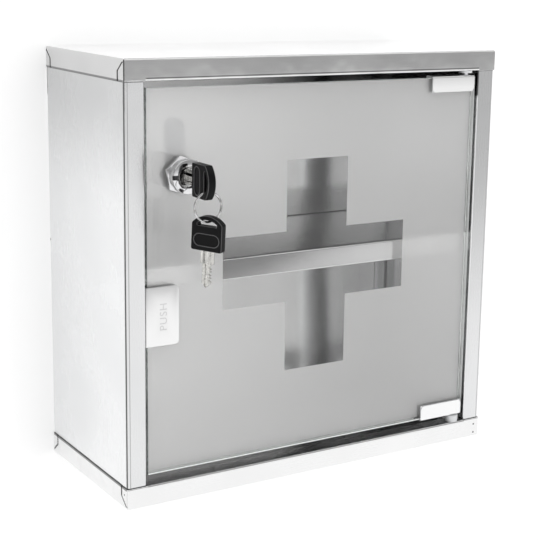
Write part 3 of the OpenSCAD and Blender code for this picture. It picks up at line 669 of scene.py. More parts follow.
film_grain = film_paint.noise(1500)
frosted = film_paint.use(Base_Color=film_paint.mix(film_cloud * 0.6 + film_grain * 0.4, *FILM_WHITE),
                         Roughness=FILM_ROUGH + (film_cloud - 0.5) * CLOUD_ROUGH,
                         Normal=film_paint.bump(film_grain, GRAIN_DEPTH))
smooth_film = Paint("smooth_film_back", IOR=FILM_IOR, Base_Color=FILM_BACK, Transmission_Weight=1.0)
film_back = smooth_film.use(Roughness=0.02 + smooth_film.noise(200) * 0.03)
print("glass:", clear_glass.name, frosted.name)

# %% [markdown]
# The CAD solids have sharp edges and no real edge is sharp: the thin bright line along an edge is what
# tells the eye that a thing is metal. A Bevel modifier rounds every edge by a fraction of a millimetre.
# A CAD mesh is loose triangles, so a Weld modifier joins them first, and only then can Bevel find edges.

# %% Finish the solids that keep their shape
JOIN_GAP = 0.000002


def round_edges(piece, radius=0.12, segments=2, angle=38):
    """A Bevel modifier of radius millimetres on the edges sharper than angle degrees."""
    bevel = piece.modifiers.new("edge", "BEVEL")
    bevel.width = radius * MM
    bevel.segments = segments
    bevel.limit_method = "ANGLE"
    bevel.angle_limit = math.radians(angle)
    return piece


def soften(node, material):
    """Gives a CAD node its finish, joins its triangles and rounds its edges."""
    piece = nodes[node]
    piece.data.materials.clear()
    piece.data.materials.append(material)
    piece.modifiers.new("join", "WELD").merge_threshold = JOIN_GAP
    round_edges(piece)


SOLIDS = {
    sheet_back: ["back_panel"],
    sheet_inside: ["shelf_rail_left", "shelf_rail_right"],
    zinc: ["hinge_plate_top", "hinge_plate_bottom", "latch_bracket", "latch_screws", "clip_screws",
           "lock_rear_washer", "lock_rear_nut", "lock_cam", "cam_washer", "cam_screw", "latch_spring"],
    pin_steel: ["hinge_pin_top", "hinge_pin_bottom"],
    white_nylon: ["pivot_bush_top", "pivot_bush_bottom", "thrust_washer", "clip_liner_top",
                  "clip_liner_bottom", "push_plate_liner", "latch_plunger"],
    grey_acetal: ["latch_housing"],
    rubber: ["lock_gasket"],
    chrome: ["lock_front_nut"],
    barrel_black: ["lock_barrel"],
    die_cast: ["lock_plug", "lock_wafers"],
    magnet_skin: ["latch_magnet"],
    clear_glass: ["door_glass"],
}
for material, names in SOLIDS.items():
    for name in names:
        soften(name, material)
# The spring's wire is already round.
nodes["latch_spring"].modifiers.clear()
print("solids that keep their shape:", sum(len(names) for names in SOLIDS.values()))

# %% [markdown]
# New pieces start as arrays. A grid of points, n by m, becomes quads by joining each point to its
# neighbours, and numpy writes all of them at once. Points that meet, at a seam or a pole, are merged
# afterwards, and the faces are turned to point outwards. A flat outline becomes a body by drawing it out
# along the third axis, so an outline says in which two axes it is drawn.

# %% From arrays to meshes
FROM_ABOVE = (0, 1, 2)
FROM_FRONT = (0, 2, 1)
FROM_SIDE = (1, 2, 0)
UPSIDE_DOWN = Matrix.Diagonal((1, 1, -1, 1))
MERGE_GAP = 1e-7


def grid_quads(rows, columns, close_rows=False, close_columns=False):
    """The four corner numbers of each quad of a grid whose point (i, j) has the number i * columns + j."""
    i = np.arange(rows if close_rows else rows - 1)[:, None]
    j = np.arange(columns if close_columns else columns - 1)[None, :]
    i_next = (i + 1) % rows
    j_next = (j + 1) % columns
    quads = np.stack(np.broadcast_arrays(i * columns + j, i_next * columns + j, i_next * columns + j_next,
                                         i * columns + j_next), axis=-1)
    return quads.reshape(-1, 4)


def full_turn(count):
    """Angles evenly round a full turn."""
    return np.linspace(0, 2 * math.pi, count, endpoint=False)


def tube(rings):
    """An array of rings, as points and faces: quads from ring to ring, and one face on each end."""
    rows, columns = rings.shape[:2]
    last = (rows - 1) * columns
    ends = [list(range(columns)), list(range(last, last + columns))]
    return rings.reshape(-1, 3), grid_quads(rows, columns, False, True).tolist() + ends


def rectangle(low_x, low_y, high_x, high_y):
    """The four corners of a flat rectangle."""
    return [(low_x, low_y), (high_x, low_y), (high_x, high_y), (low_x, high_y)]


def prism(outline, low, high, axes):
    """A flat outline in two axes, drawn out along the third, with a face on each end."""
    rings = np.zeros((2, len(outline), 3))
    rings[:, :, axes[0]], rings[:, :, axes[1]] = np.asarray(outline, float).T
    rings[:, :, axes[2]] = [[low], [high]]
    return tube(rings)


def tidy(mesh):
    """Merges points that meet and turns the faces outwards."""
    work = bmesh.new()
    work.from_mesh(mesh)
    bmesh.ops.remove_doubles(work, verts=work.verts, dist=MERGE_GAP)
    bmesh.ops.recalc_face_normals(work, faces=work.faces)
    work.to_mesh(mesh)
    work.free()


def shade(mesh, angle=35):
    """Smooth shading, with an edge kept sharp where its faces turn by more than angle degrees."""
    mesh.shade_smooth()
    mesh.set_sharp_from_angle(angle=math.radians(angle))


def mesh_from(name, parts):
    """A tidy mesh of several parts, each of points in millimetres and faces."""
    points = []
    faces = []
    for part_points, part_faces in parts:
        faces += [[int(k) + len(points) for k in face] for face in part_faces]
        points += (np.asarray(part_points, float) * MM).tolist()
    mesh = bpy.data.meshes.new(name)
    mesh.from_pydata(points, [], faces)
    tidy(mesh)
    return mesh


def solid(name, parts, material, body, replaced, smooth=35, place=None):
    """Parts joined into one mesh that rides on a body in place of a CAD node. smooth is the angle, in
    degrees, up to which neighbouring faces are shaded as one surface, and place moves the mesh first."""
    mesh = mesh_from(name, parts)
    if place:
        mesh.transform(place)
        tidy(mesh)
    shade(mesh, smooth)
    mesh.materials.append(material)
    piece = in_scene(name, mesh)
    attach(piece, body)
    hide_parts(replaced)
    return piece


def face_values(mesh, what):
    """The normal or the centre of every face, as rows of three."""
    values = np.zeros(len(mesh.polygons) * 3)
    mesh.polygons.foreach_get(what, values)
    return values.reshape(-1, 3)


def second_material(mesh, material, chosen):
    """Adds a material, and gives it to the chosen faces."""
    mesh.materials.append(material)
    mesh.polygons.foreach_set("material_index", chosen.astype(np.int32))


print("quads of a 3 by 4 grid:", len(grid_quads(3, 4)))

# %% [markdown]
# Sheet metal is one idea: a line, bent at its corners with a small radius, given a thickness, and drawn
# out to a length. So one function rounds the corners of a line and keeps the direction across it at each
# point, and another moves that line half a thickness to both sides. Going out along one side and back
# along the other gives a closed outline, and the outline drawn out along an axis is the bent sheet.

# %% Bent sheet
def direction(start, end):
    """The way from start to end, as a vector of length 1."""
    return (end - start) / np.linalg.norm(end - start)


def corner_arc(corner, way_in, way_out, radius, steps):
    """The arc that replaces a corner, and the side direction at each of its points. It starts and ends
    radius * tan(half the turn) from the corner, and its side turns evenly along it."""
    turn = math.atan2(way_in[0] * way_out[1] - way_in[1] * way_out[0], way_in @ way_out)
    side = np.array((-way_in[1], way_in[0]))
    centre = corner - way_in * radius * math.tan(abs(turn) / 2) + side * radius * np.sign(turn)
    angles = np.linspace(0, turn, steps + 1)
    turned = np.stack([side[0] * np.cos(angles) - side[1] * np.sin(angles),
                       side[0] * np.sin(angles) + side[1] * np.cos(angles)], axis=1)
    return centre - turned * radius * np.sign(turn), turned


def bent_line(points, radii, steps=8):
    """A line through 2-D points whose inner corners are arcs: returns its points and its side directions."""
    points = [np.array(point, float) for point in points]
    ways = [direction(a, b) for a, b in zip(points, points[1:])]
    line = [points[0][None]]
    across = [np.array([(-ways[0][1], ways[0][0])])]
    for corner, way_in, way_out, radius in zip(points[1:-1], ways, ways[1:], radii):
        arc_points, arc_sides = corner_arc(corner, way_in, way_out, radius, steps)
        line.append(arc_points)
        across.append(arc_sides)
    line.append(points[-1][None])
    across.append(np.array([(-ways[-1][1], ways[-1][0])]))
    return np.concatenate(line), np.concatenate(across)


def drawn_out(line, across, thickness, low, high, axes):
    """The line moved half a thickness to each side and drawn out from low to high along the third axis.
    low and high may be arrays along the line, which rounds the sheet's free corners."""
    count = len(line)
    outline = np.concatenate([line + across * thickness / 2, (line - across * thickness / 2)[::-1]])
    rings = np.zeros((2, 2 * count, 3))
    rings[:, :, axes[0]], rings[:, :, axes[1]] = outline.T
    for ring, end in zip(rings, (low, high)):
        length = np.broadcast_to(np.asarray(end, float), (count,))
        ring[:, axes[2]] = np.concatenate([length, length[::-1]])
    i = np.arange(count - 1)
    first_cap = np.stack([i, i + 1, 2 * count - 2 - i, 2 * count - 1 - i], axis=1)
    walls = grid_quads(2, 2 * count, False, True)
    return rings.reshape(-1, 3), np.concatenate([walls, first_cap, first_cap + 2 * count])


print("points of a line with two bends:", len(bent_line([(0, 0), (10, 0), (10, 10), (0, 10)], [1, 1])[0]))

# %% [markdown]
# Each side panel is one sheet with three bends: between a narrow flange behind and the side wall, at the
# stile in front, and at the return beside the door. Its section is seen from above and drawn out upwards.
# The corner between side wall and stile is what catches the light as a thin bright line, between two
# dark lines that are painted shade.

# %% Side panels
REAR_FLANGE = 11.6


def side_panel(sign, name, node):
    """The bent section, mirrored by sign, from just inside the pan to just inside the cap."""
    wall = HALF_W - 1.5 * SHEET
    fore = FRONT + 1.5 * SHEET
    back = -1.5 * SHEET
    inner = OPENING_W + SHEET / 2
    section = [(REAR_FLANGE - wall, back), (-wall, back), (-wall, fore), (-inner, fore),
               (-inner, FRONT + RETURN_DEPTH)]
    line, across = bent_line(section, [0.6, BEND - SHEET / 2, BEND - SHEET / 2])
    mirror = np.array((-sign, 1))
    parts = [drawn_out(line * mirror, across * mirror, SHEET, -side_high[2], side_high[2], FROM_ABOVE)]
    return round_edges(solid(name, parts, sheet_upright, "cabinet", node), 0.15)


left_panel = side_panel(-1, "left_panel_sheet", "left_side_panel")
right_panel = side_panel(1, "right_panel_sheet", "right_side_panel")
print("side panel faces:", len(left_panel.data.polygons))

# %% [markdown]
# The shelf is bent along its length: a flange behind, the top, the lip in front, and a hem, where the
# lip's edge is folded back on itself so that no one is cut. Its section is seen from the side.

# %% Shelf
HEM = 5
SHELF_FLANGE = 7.6
shelf_fore = SHELF_FORE + SHEET / 2
shelf_aft = shelf_high[1] - SHEET / 2
shelf_top = SHELF_TOP - SHEET / 2
shelf_low_z = shelf_low[2] + SHEET / 2
shelf_section = [(shelf_fore + SHEET, shelf_low[2] + HEM), (shelf_fore + SHEET, shelf_low_z),
                 (shelf_fore, shelf_low_z), (shelf_fore, shelf_top), (shelf_aft, shelf_top),
                 (shelf_aft, shelf_top - SHELF_FLANGE)]
shelf_parts = [drawn_out(*bent_line(shelf_section, [0.4, 0.4, 1.0, 0.8]), SHEET, shelf_low[0], shelf_high[0],
                         FROM_SIDE)]
round_edges(solid("shelf_sheet", shelf_parts, sheet_shelf, "cabinet", "shelf"), 0.15)
print("shelf depth, mm:", round(shelf_high[1] - shelf_low[1], 1))

# %% [markdown]
# Cap and pan are the same pressed tray, one upside down. A tray's wall is a profile carried round a
# rounded rectangle: at each height the rectangle is a little smaller by an inset, and its corner radius
# shrinks by the same inset, so the bend is equally round everywhere. The wall goes up outside, over the
# bend, and the same again inside, one sheet thickness smaller.

# %% Pressed trays
RETURN_LIP = FRONT + RETURN_DEPTH - SHEET / 2
LIP_UPTURN = 6
LIP_HALF_W = OPENING_W - 0.2
STRIP_UP = 2.6
STRIP_BACK = 1.2


def rounded_rectangle(half_x, half_y, radius, steps=6):
    """Points round a rectangle whose corners are arcs, each corner turning through a quarter."""
    quarter = np.linspace(0, math.pi / 2, steps + 1)
    arcs = []
    for turn, sx, sy in ((0, 1, 1), (1, -1, 1), (2, -1, -1), (3, 1, -1)):
        angle = quarter + turn * math.pi / 2
        arcs.append(np.stack([sx * (half_x - radius) + radius * np.cos(angle),
                              sy * (half_y - radius) + radius * np.sin(angle)], axis=1))
    return np.concatenate(arcs)


def lid_shell(inset, top, bend, bottom):
    """Rings of the wall from bottom up and over the bend. Height is top - bend + bend * sin(a) and inset
    is bend - bend * cos(a), as a goes from 0 to a quarter."""
    angles = np.linspace(0, math.pi / 2, 7)
    heights = np.concatenate([[bottom], top - bend + bend * np.sin(angles)])
    insets = np.concatenate([[0], bend - bend * np.cos(angles)]) + inset
    rings = []
    for height, shrink in zip(heights, insets):
        flat = rounded_rectangle(HALF_W - shrink, -FRONT / 2 - shrink, max(bend + inset - shrink, 0.01))
        rings.append(np.column_stack([flat[:, 0], flat[:, 1] + FRONT / 2, np.full(len(flat), height)]))
    return np.array(rings)


def tray_parts(bottom, top):
    """Outer and inner wall joined along the open edge, and the two flat tops."""
    outer = lid_shell(0, top, BEND, bottom)
    inner = lid_shell(SHEET, top - SHEET, BEND - SHEET, bottom)
    return tube(np.concatenate([outer[::-1], inner]))


def lip_parts():
    """The door opening's lip: from the front flange's edge back over the opening, then up."""
    edge = FRONT + SHEET / 2
    low = OPENING_H + SHEET / 2
    section = [(edge, OPENING_H + STRIP_UP), (edge, low), (RETURN_LIP, low),
               (RETURN_LIP, OPENING_H + LIP_UPTURN)]
    return drawn_out(*bent_line(section, [0.9, 0.7]), SHEET, -LIP_HALF_W, LIP_HALF_W, FROM_SIDE)


print("tray points:", len(tray_parts(OPENING_H, HALF_H)[0]))

# %% [markdown]
# At each corner of a real tray a tab of the front flange wraps round and is welded to the side flange,
# and a slit is left between them. Slits are cut out with a Boolean: thin blocks are pushed through the
# wall and what they cover is taken away. The slit follows the same path as in the solid: up from the
# edge, then slanting to the corner.

# %% Slits and the finished trays
SLIT = 2.0
SLIT_DEEP = 1.7
SLIT_KNEE = 8.5
SLIT_CORNER = 2.4
TAB = 10


def evaluated_mesh(piece):
    """A new mesh of what the piece shows with its modifiers, or of a curve or text."""
    return bpy.data.meshes.new_from_object(piece.evaluated_get(bpy.context.evaluated_depsgraph_get()))


def keep_modifiers(piece):
    """Makes what the modifiers show the piece's own mesh, and takes them off."""
    result = evaluated_mesh(piece)
    piece.modifiers.clear()
    old = piece.data
    piece.data = result
    bpy.data.meshes.remove(old)


def sink(piece, mesh):
    """Takes a closed mesh out of a piece with a Boolean, and keeps the result as the piece's mesh."""
    cutter = in_scene("cutter", mesh)
    boolean = piece.modifiers.new("cut", "BOOLEAN")
    boolean.operation = "DIFFERENCE"
    boolean.solver = "EXACT"
    boolean.object = cutter
    keep_modifiers(piece)
    bpy.data.objects.remove(cutter)
    bpy.data.meshes.remove(mesh)


def cut_out(piece, parts):
    """Takes each part out of a piece."""
    for part in parts:
        sink(piece, mesh_from("cutter", [part]))
    shade(piece.data)


def add_part(mesh, points, faces):
    """Adds loose points and faces to a mesh."""
    work = bmesh.new()
    work.from_mesh(mesh)
    made = [work.verts.new(point) for point in (np.asarray(points) * MM).tolist()]
    for face in faces:
        work.faces.new([made[int(k)] for k in face])
    work.to_mesh(mesh)
    work.free()


def slit(corner_y, way, side):
    """A strip SLIT wide: up from the flange's edge, then slanting to just short of the bend."""
    tab = corner_y + way * TAB
    path = np.array([(tab, OPENING_H - 1), (tab, HALF_H - SLIT_KNEE),
                     (corner_y + way * SLIT_CORNER, HALF_H - SLIT_CORNER)])
    outline = np.concatenate([path, path[::-1] - (SLIT * way, 0)])
    centre = side * HALF_W
    return prism(outline, centre - SLIT_DEEP, centre + SLIT_DEEP, FROM_SIDE)


def tray(name, node, sheet, flip):
    """A tray with its slits and a strip over the opening cut out and its lip put in. flip turns it over."""
    strip = prism(rectangle(FRONT - 1, OPENING_H - 1, FRONT + STRIP_BACK, OPENING_H + STRIP_UP),
                  -LIP_HALF_W, LIP_HALF_W, FROM_SIDE)
    piece = solid(name, [tray_parts(OPENING_H, HALF_H)], sheet, "cabinet", node)
    cut_out(piece, [strip] + [slit(y, way, side) for y, way in ((FRONT, 1), (0, -1)) for side in (-1, 1)])
    add_part(piece.data, *lip_parts())
    if flip:
        piece.data.transform(UPSIDE_DOWN)
    tidy(piece.data)
    shade(piece.data)
    return round_edges(piece)


cap = tray("top_cap_sheet", "top_cap", sheet_cap, False)
pan = tray("bottom_pan_sheet", "bottom_pan", sheet_pan, True)
print("cap faces:", len(cap.data.polygons))

# %% [markdown]
# The hinge clips are strips folded over the glass's edge like a paper clip. The front leaf's free corners
# are rounded, and the rear leaf is thick, because two grub screws in it press the glass against the front.
# The fold is one smooth turn, which the camera sees as a bright curve, so the clip is a bent strip whose
# leaf is drawn out to widths that shrink near the free edge.

# %% Hinge clips
CLIP_METAL = 1.0
LEAF_CORNER = 3.0
REAR_LEAF = 1.5
clip_low, clip_high = corners("hinge_clip_top")


def corner_steps():
    """Distances from a leaf's free edge, closer together near it, over the length of its rounded corner."""
    return (np.linspace(0, 1, 7) ** 1.6 * LEAF_CORNER).tolist()


def rounded_half(from_edge, half):
    """half, less what a corner arc of radius r leaves out: r - sqrt(r * r - (r - h) * (r - h))."""
    inside = np.clip(LEAF_CORNER - from_edge, 0, LEAF_CORNER)
    return half - (LEAF_CORNER - np.sqrt(LEAF_CORNER ** 2 - inside ** 2))


def hinge_clip(name, node, flip):
    """The folded strip; the bottom clip is the top one mirrored at the glass's middle height."""
    clip_front = clip_low[1] + CLIP_METAL / 2
    clip_rear = clip_high[1] - REAR_LEAF
    top = clip_high[2] - CLIP_METAL / 2
    low = clip_low[2]
    front = [(clip_front, low + step) for step in corner_steps()]
    line, across = bent_line([*front, (clip_front, top), (clip_rear + 0.9, top)], [0.01] * 6 + [1.1])
    middle = (clip_low[0] + clip_high[0]) / 2
    half = rounded_half(line[:, 1] - low, (clip_high[0] - clip_low[0]) / 2)
    leaf = drawn_out(line, across, CLIP_METAL, middle - half, middle + half, FROM_SIDE)
    rear_section = [(-REAR_LEAF, low), (-REAR_LEAF, top - 0.2), (-0.7, top + 0.5), (0.5, top + 0.5),
                    (REAR_LEAF, top - 0.6), (REAR_LEAF, low)]
    rear = prism(np.array(rear_section) + (clip_rear, 0), clip_low[0], clip_high[0], FROM_SIDE)
    shift = Matrix.Translation((0, 0, (corners(node)[0][2] + clip_high[2]) * MM))
    piece = solid(name, [leaf, rear], sheet_clip, "door", node,
                  place=shift @ UPSIDE_DOWN if flip else None)
    return round_edges(piece, 0.18)


hinge_clip("upper_clip", "hinge_clip_top", False)
hinge_clip("lower_clip", "hinge_clip_bottom", True)
print("clip, mm:", [round(v, 1) for v in clip_high - clip_low])

# %% [markdown]
# The push plate is folded the same way round the glass's left edge. Its one word is pressed thinly into
# the front. A text object is the simple way to draw letters: it becomes a mesh, gets its place, and a
# Boolean sinks it a tenth of a millimetre into the plate. The letters' floors get a greyer material.

# %% Push plate
PLATE_METAL = 0.8
WORD_SIZE = 7.4
WORD_DEPTH = 0.12
WORD_X = -121.8
WORD_Z = -19.9
LETTER_SPACE = 1.12


def push_plate():
    """A strip folded round the glass's edge, seen from above, whose free corners are rounded."""
    plate_front = plate_low[1] + PLATE_METAL / 2
    plate_rear = plate_high[1] - PLATE_METAL / 2
    fold_x = plate_low[0] + PLATE_METAL / 2
    free_x = plate_high[0]
    steps = corner_steps()
    points = [(free_x - step, plate_front) for step in steps] + [(fold_x, plate_front), (fold_x, plate_rear)]
    points += [(free_x - step, plate_rear) for step in steps[::-1]]
    line, across = bent_line(points, [0.01] * 6 + [1.0, 1.0] + [0.01] * 6)
    middle = (plate_low[2] + plate_high[2]) / 2
    half = rounded_half(free_x - line[:, 0], (plate_high[2] - plate_low[2]) / 2)
    parts = [drawn_out(line, across, PLATE_METAL, middle - half, middle + half, FROM_ABOVE)]
    piece = solid("push_plate_folded", parts, plate_white, "door", "push_plate")
    return round_edges(piece, 0.15)


def curve_mesh(curve):
    """The mesh of a curve or text, which is then removed."""
    drawn = in_scene("drawn", curve)
    mesh = evaluated_mesh(drawn)
    bpy.data.objects.remove(drawn)
    bpy.data.curves.remove(curve)
    return mesh


def word_mesh(word):
    """The word as a closed mesh, its middle at the origin, drawn in the X-Y plane."""
    curve = bpy.data.curves.new("word", "FONT")
    curve.body = word
    curve.size = WORD_SIZE * MM
    curve.align_x = "CENTER"
    curve.align_y = "CENTER"
    curve.extrude = WORD_DEPTH * MM
    curve.space_character = LETTER_SPACE
    return curve_mesh(curve)


plate = push_plate()
keep_modifiers(plate)
# The word is read from bottom to top, so its letters' right goes up the cabinet's Z.
word = word_mesh("PUSH")
word_place = Matrix(((0, -1, 0), (0, 0, -1), (1, 0, 0))).to_4x4()
word_place.translation = Vector((WORD_X * MM, plate_low[1] * MM, WORD_Z * MM))
word.transform(word_place)
tidy(word)
sink(plate, word)
shade(plate.data, 30)
centres = face_values(plate.data, "center") / MM
on_floor = np.abs(centres[:, 1] - plate_low[1] - WORD_DEPTH) < 0.02
in_word = on_floor & (np.abs(centres[:, 0] - WORD_X) < WORD_SIZE)
second_material(plate.data, pressed_grey, in_word)
print("push plate, mm:", [round(v, 1) for v in plate_high - plate_low])
print("faces on the word's floor:", int(in_word.sum()))

# %% [markdown]
# Round pieces are turned on a lathe, and so are these: a profile of radius against depth, spun round the
# lock's axis. The collar is the one that everyone looks at. Its face slopes outwards, so it mirrors the
# room and not the key in front of it, and its mouth has a thin rounded lip. A notch marks where the key
# stands when the lock is shut.

# %% Turned pieces
COLLAR_FALL = 0.68
RIM = 0.7
MOUTH_R = 7.3
MOUTH_ROUND = 0.35
BORE_R = 8.25
GROOVE_R = 8.7
NOTCH_HALF = 1.5
NOTCH_FROM = 13
NOTCH_TO = 7.5
NOTCH_DEEP = 1.7


def turned(profile, centre_x, centre_z, around=96):
    """Each profile point (radius, y) swept through a full turn about the axis along Y."""
    radius, y = np.asarray(profile, float).T[:, :, None]
    angle = full_turn(around)
    points = np.stack([centre_x + radius * np.cos(angle), y + 0 * angle, centre_z + radius * np.sin(angle)],
                      axis=-1)
    return points.reshape(-1, 3), grid_quads(len(profile), around, True, True)


def arc(centre, radius, start, end, steps=8):
    """Points (radius, y) on a circle about centre, from one angle to another, in degrees."""
    angle = np.radians(np.linspace(start, end, steps + 1))
    return [(centre[0] + radius * math.cos(a), centre[1] + radius * math.sin(a)) for a in angle]


lock_front = collar_low[1]
lock_rear = collar_high[1]
outer_r = (collar_high[0] - collar_low[0]) / 2
COLLAR_PROFILE = [
    *arc((outer_r - RIM, lock_front + RIM + COLLAR_FALL), RIM, 0, -76),
    (MOUTH_R + 0.6, lock_front),
    *arc((MOUTH_R + MOUTH_ROUND, lock_front + MOUTH_ROUND), MOUTH_ROUND, -90, -180, 6),
    (MOUTH_R, lock_front + 0.9), (GROOVE_R, lock_front + 1.1), (GROOVE_R, lock_front + 1.8),
    (BORE_R, lock_front + 1.8), (BORE_R, lock_rear), (outer_r - 0.5, lock_rear),
    *arc((outer_r - 0.5, lock_rear - 0.5), 0.5, 90, 0, 4)]
chrome_collar = solid("chrome_collar", [turned(COLLAR_PROFILE, LOCK_X, LOCK_Z)], chrome, "door",
                      "lock_collar", 45)
notch = prism(rectangle(LOCK_X - NOTCH_FROM, LOCK_Z - NOTCH_HALF, LOCK_X - NOTCH_TO, LOCK_Z + NOTCH_HALF),
              lock_front - 1, lock_front + NOTCH_DEEP, FROM_FRONT)
cut_out(chrome_collar, [notch])
round_edges(chrome_collar, 0.2, 3, 50)
print("collar, mm:", round(2 * outer_r, 1), "across,", round(lock_rear - lock_front, 1), "deep")

# %% [markdown]
# A key is drawn flat, in its own three directions: h across it, v from the head's base to the arched end,
# and t through it. A matrix then stands each copy where its body is: one in the lock, one on the ring.
# The head is a filled flat curve with a hole, which Blender can thicken and round in one step. Its bevel
# grows outwards, so the curve is drawn smaller by the bevel first. An arch of radius R over a chord 2 w
# wide rises by r, where R = (w * w + r * r) / (2 r). A border runs round a shallow panel on each face.

# %% Key heads
HEAD_W = 22
HEAD_L = 17.5
HEAD_TOP = 22.7
HEAD_T = 5.4
HEAD_EDGE = 0.4
HEAD_RISE = HEAD_TOP - HEAD_L
HEAD_ARCH_R = ((HEAD_W / 2) ** 2 + HEAD_RISE ** 2) / (2 * HEAD_RISE)
HEAD_ARCH_V = HEAD_TOP - HEAD_ARCH_R
SLOT_R = HEAD_ARCH_R - 2.6
SLOT_HALF = 7.15
SLOT_V = 16.1
PANEL_L = 18.5
PANEL_W = 8
PANEL_V = 7
PANEL_DEPTH = 0.4
BEAD_R = 0.34
BEAD_SUNK = 0.14
EDGE_SLANT = (0.15, 0.98)


def rounded_loop(points, radii, steps=6):
    """A closed line whose corners are replaced by arcs of the given radii."""
    points = [np.array(point, float) for point in points]
    loop = []
    for i, (corner, radius) in enumerate(zip(points, radii)):
        if radius == 0:
            loop.append(corner)
        else:
            way_in = direction(points[i - 1], corner)
            way_out = direction(corner, points[(i + 1) % len(points)])
            loop.extend(corner_arc(corner, way_in, way_out, radius, steps)[0])
    return loop


def arched_loop(half, low, radius, centre_v, corner_radii):
    """A flat base from -half to half at low, closed by an arch about centre_v. Two radii round the base's
    corners and a third the arch's ends."""
    end = math.asin(half / radius)
    arch = [(radius * math.sin(a), centre_v + radius * math.cos(a)) for a in np.linspace(end, -end, 24)]
    base, arch_end = corner_radii
    return rounded_loop([(-half, low), (half, low), *arch], [base, base, arch_end] + [0] * 22 + [arch_end])


def key_head_mesh():
    """The head from two outlines, thickened to HEAD_T with edges rounded by HEAD_EDGE."""
    e = HEAD_EDGE
    outer = arched_loop(HEAD_W / 2 - e, e, HEAD_ARCH_R - e, HEAD_ARCH_V, (0.9, 0.8))
    inner = arched_loop(SLOT_HALF + e, SLOT_V - e, SLOT_R + e, HEAD_ARCH_V, (1.0, 1.1))
    curve = bpy.data.curves.new("head", "CURVE")
    curve.dimensions = "2D"
    curve.fill_mode = "BOTH"
    curve.extrude = (HEAD_T / 2 - e) * MM
    curve.bevel_depth = e * MM
    curve.bevel_resolution = 3
    for loop in (outer, inner):
        spline = curve.splines.new("POLY")
        spline.points.add(len(loop) - 1)
        flat = np.zeros((len(loop), 4))
        flat[:, :2] = np.array(loop) * MM
        flat[:, 3] = 1
        spline.points.foreach_set("co", flat.ravel())
        spline.use_cyclic_u = True
    mesh = curve_mesh(curve)
    tidy(mesh)
    return mesh


def stadium(length, width, up, steps=12):
    """A rectangle with half discs for ends, its middle up from the origin."""
    half = (length - width) / 2
    right = [(half + width / 2 * math.cos(a), width / 2 * math.sin(a))
             for a in np.linspace(-math.pi / 2, math.pi / 2, steps + 1)]
    return [(x, y + up) for x, y in right + [(-x, -y) for x, y in right]]


def bead(outline, height):
    """A round bead of radius BEAD_R along a closed flat outline. A point of it is the outline's point plus
    BEAD_R * cos(a) along the outline's side direction and BEAD_R * sin(a) out of the face."""
    path = np.asarray(outline, float)
    way = np.roll(path, -1, axis=0) - np.roll(path, 1, axis=0)
    way /= np.linalg.norm(way, axis=1)[:, None]
    side = np.column_stack([-way[:, 1], way[:, 0]])
    angle = full_turn(10)
    flat = path[:, None, :] + side[:, None, :] * (BEAD_R * np.cos(angle))[None, :, None]
    up = np.broadcast_to(height + BEAD_R * np.sin(angle), flat.shape[:2])
    points = np.concatenate([flat, up[..., None]], axis=-1)
    return points.reshape(-1, 3), grid_quads(len(path), len(angle), True, True)


def key_head(name, node, body, place):
    """A head with a shallow panel and a raised rim on each face. Rim and rounded edges get a lighter
    plastic, a painted highlight.
    """
    piece = in_scene(name, key_head_mesh())
    panel = stadium(PANEL_L, PANEL_W, PANEL_V)
    face = HEAD_T / 2
    cut_out(piece, [prism(panel, face - PANEL_DEPTH, face + 1, FROM_ABOVE),
                    prism(panel, -face - 1, PANEL_DEPTH - face, FROM_ABOVE)])
    slant = np.abs(face_values(piece.data, "normal")[:, 2])
    highlight_faces = (slant > EDGE_SLANT[0]) & (slant < EDGE_SLANT[1])
    for height in (face - BEAD_SUNK, BEAD_SUNK - face):
        add_part(piece.data, *bead(panel, height))
    highlight_faces = np.append(highlight_faces, np.ones(len(piece.data.polygons) - len(highlight_faces), bool))
    piece.data.materials.clear()
    piece.data.materials.append(black_plastic)
    second_material(piece.data, highlight_plastic, highlight_faces)
    piece.data.transform(place)
    tidy(piece.data)
    shade(piece.data, 40)
    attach(piece, body)
    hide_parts(node)
    round_edges(piece, 0.17, 2, 50)
    # The bevel's faces take the second, lighter plastic: a painted highlight.
    piece.modifiers["edge"].material = 1
    return piece


KEY_ONE_BASE = (LOCK_X, -145.6, LOCK_Z)
RING_BOTTOM = (LOCK_X, -162.65, 48.4)
KEY_TWO_SET = (0.738, -18.5, 0)
KEY_TWO_TURNS = ((-58, "Z"), (90, "X"), (-2.5, "Z"))
key_one_place = Matrix(((0, 0, 1), (0, -1, 0), (1, 0, 0))).to_4x4()
key_one_place.translation = Vector(KEY_ONE_BASE) * MM
key_two_place = Matrix.Translation(Vector(RING_BOTTOM) * MM)
for degrees, axis in KEY_TWO_TURNS:
    key_two_place = key_two_place @ Matrix.Rotation(math.radians(degrees), 4, axis)
key_two_place = key_two_place @ Matrix.Translation(Vector(KEY_TWO_SET) * MM)
head_one = key_head("key_in_lock_head", "key_one_head", "key_one", key_one_place)
head_two = key_head("hanging_key_head", "key_two_head", "key_two", key_two_place)
print("key head vertices:", len(head_two.data.vertices))

# %% [markdown]
# A blade is stamped from nickelled sheet, then milled: grooves run along its sides and notches are cut
# in both edges. Its section, with the grooves, is carried along the blade, and at each station the points
# are held within that station's half width. A notch then cuts the section off and leaves its grooves.
# One half of the section is the other turned round, so half of it is enough.

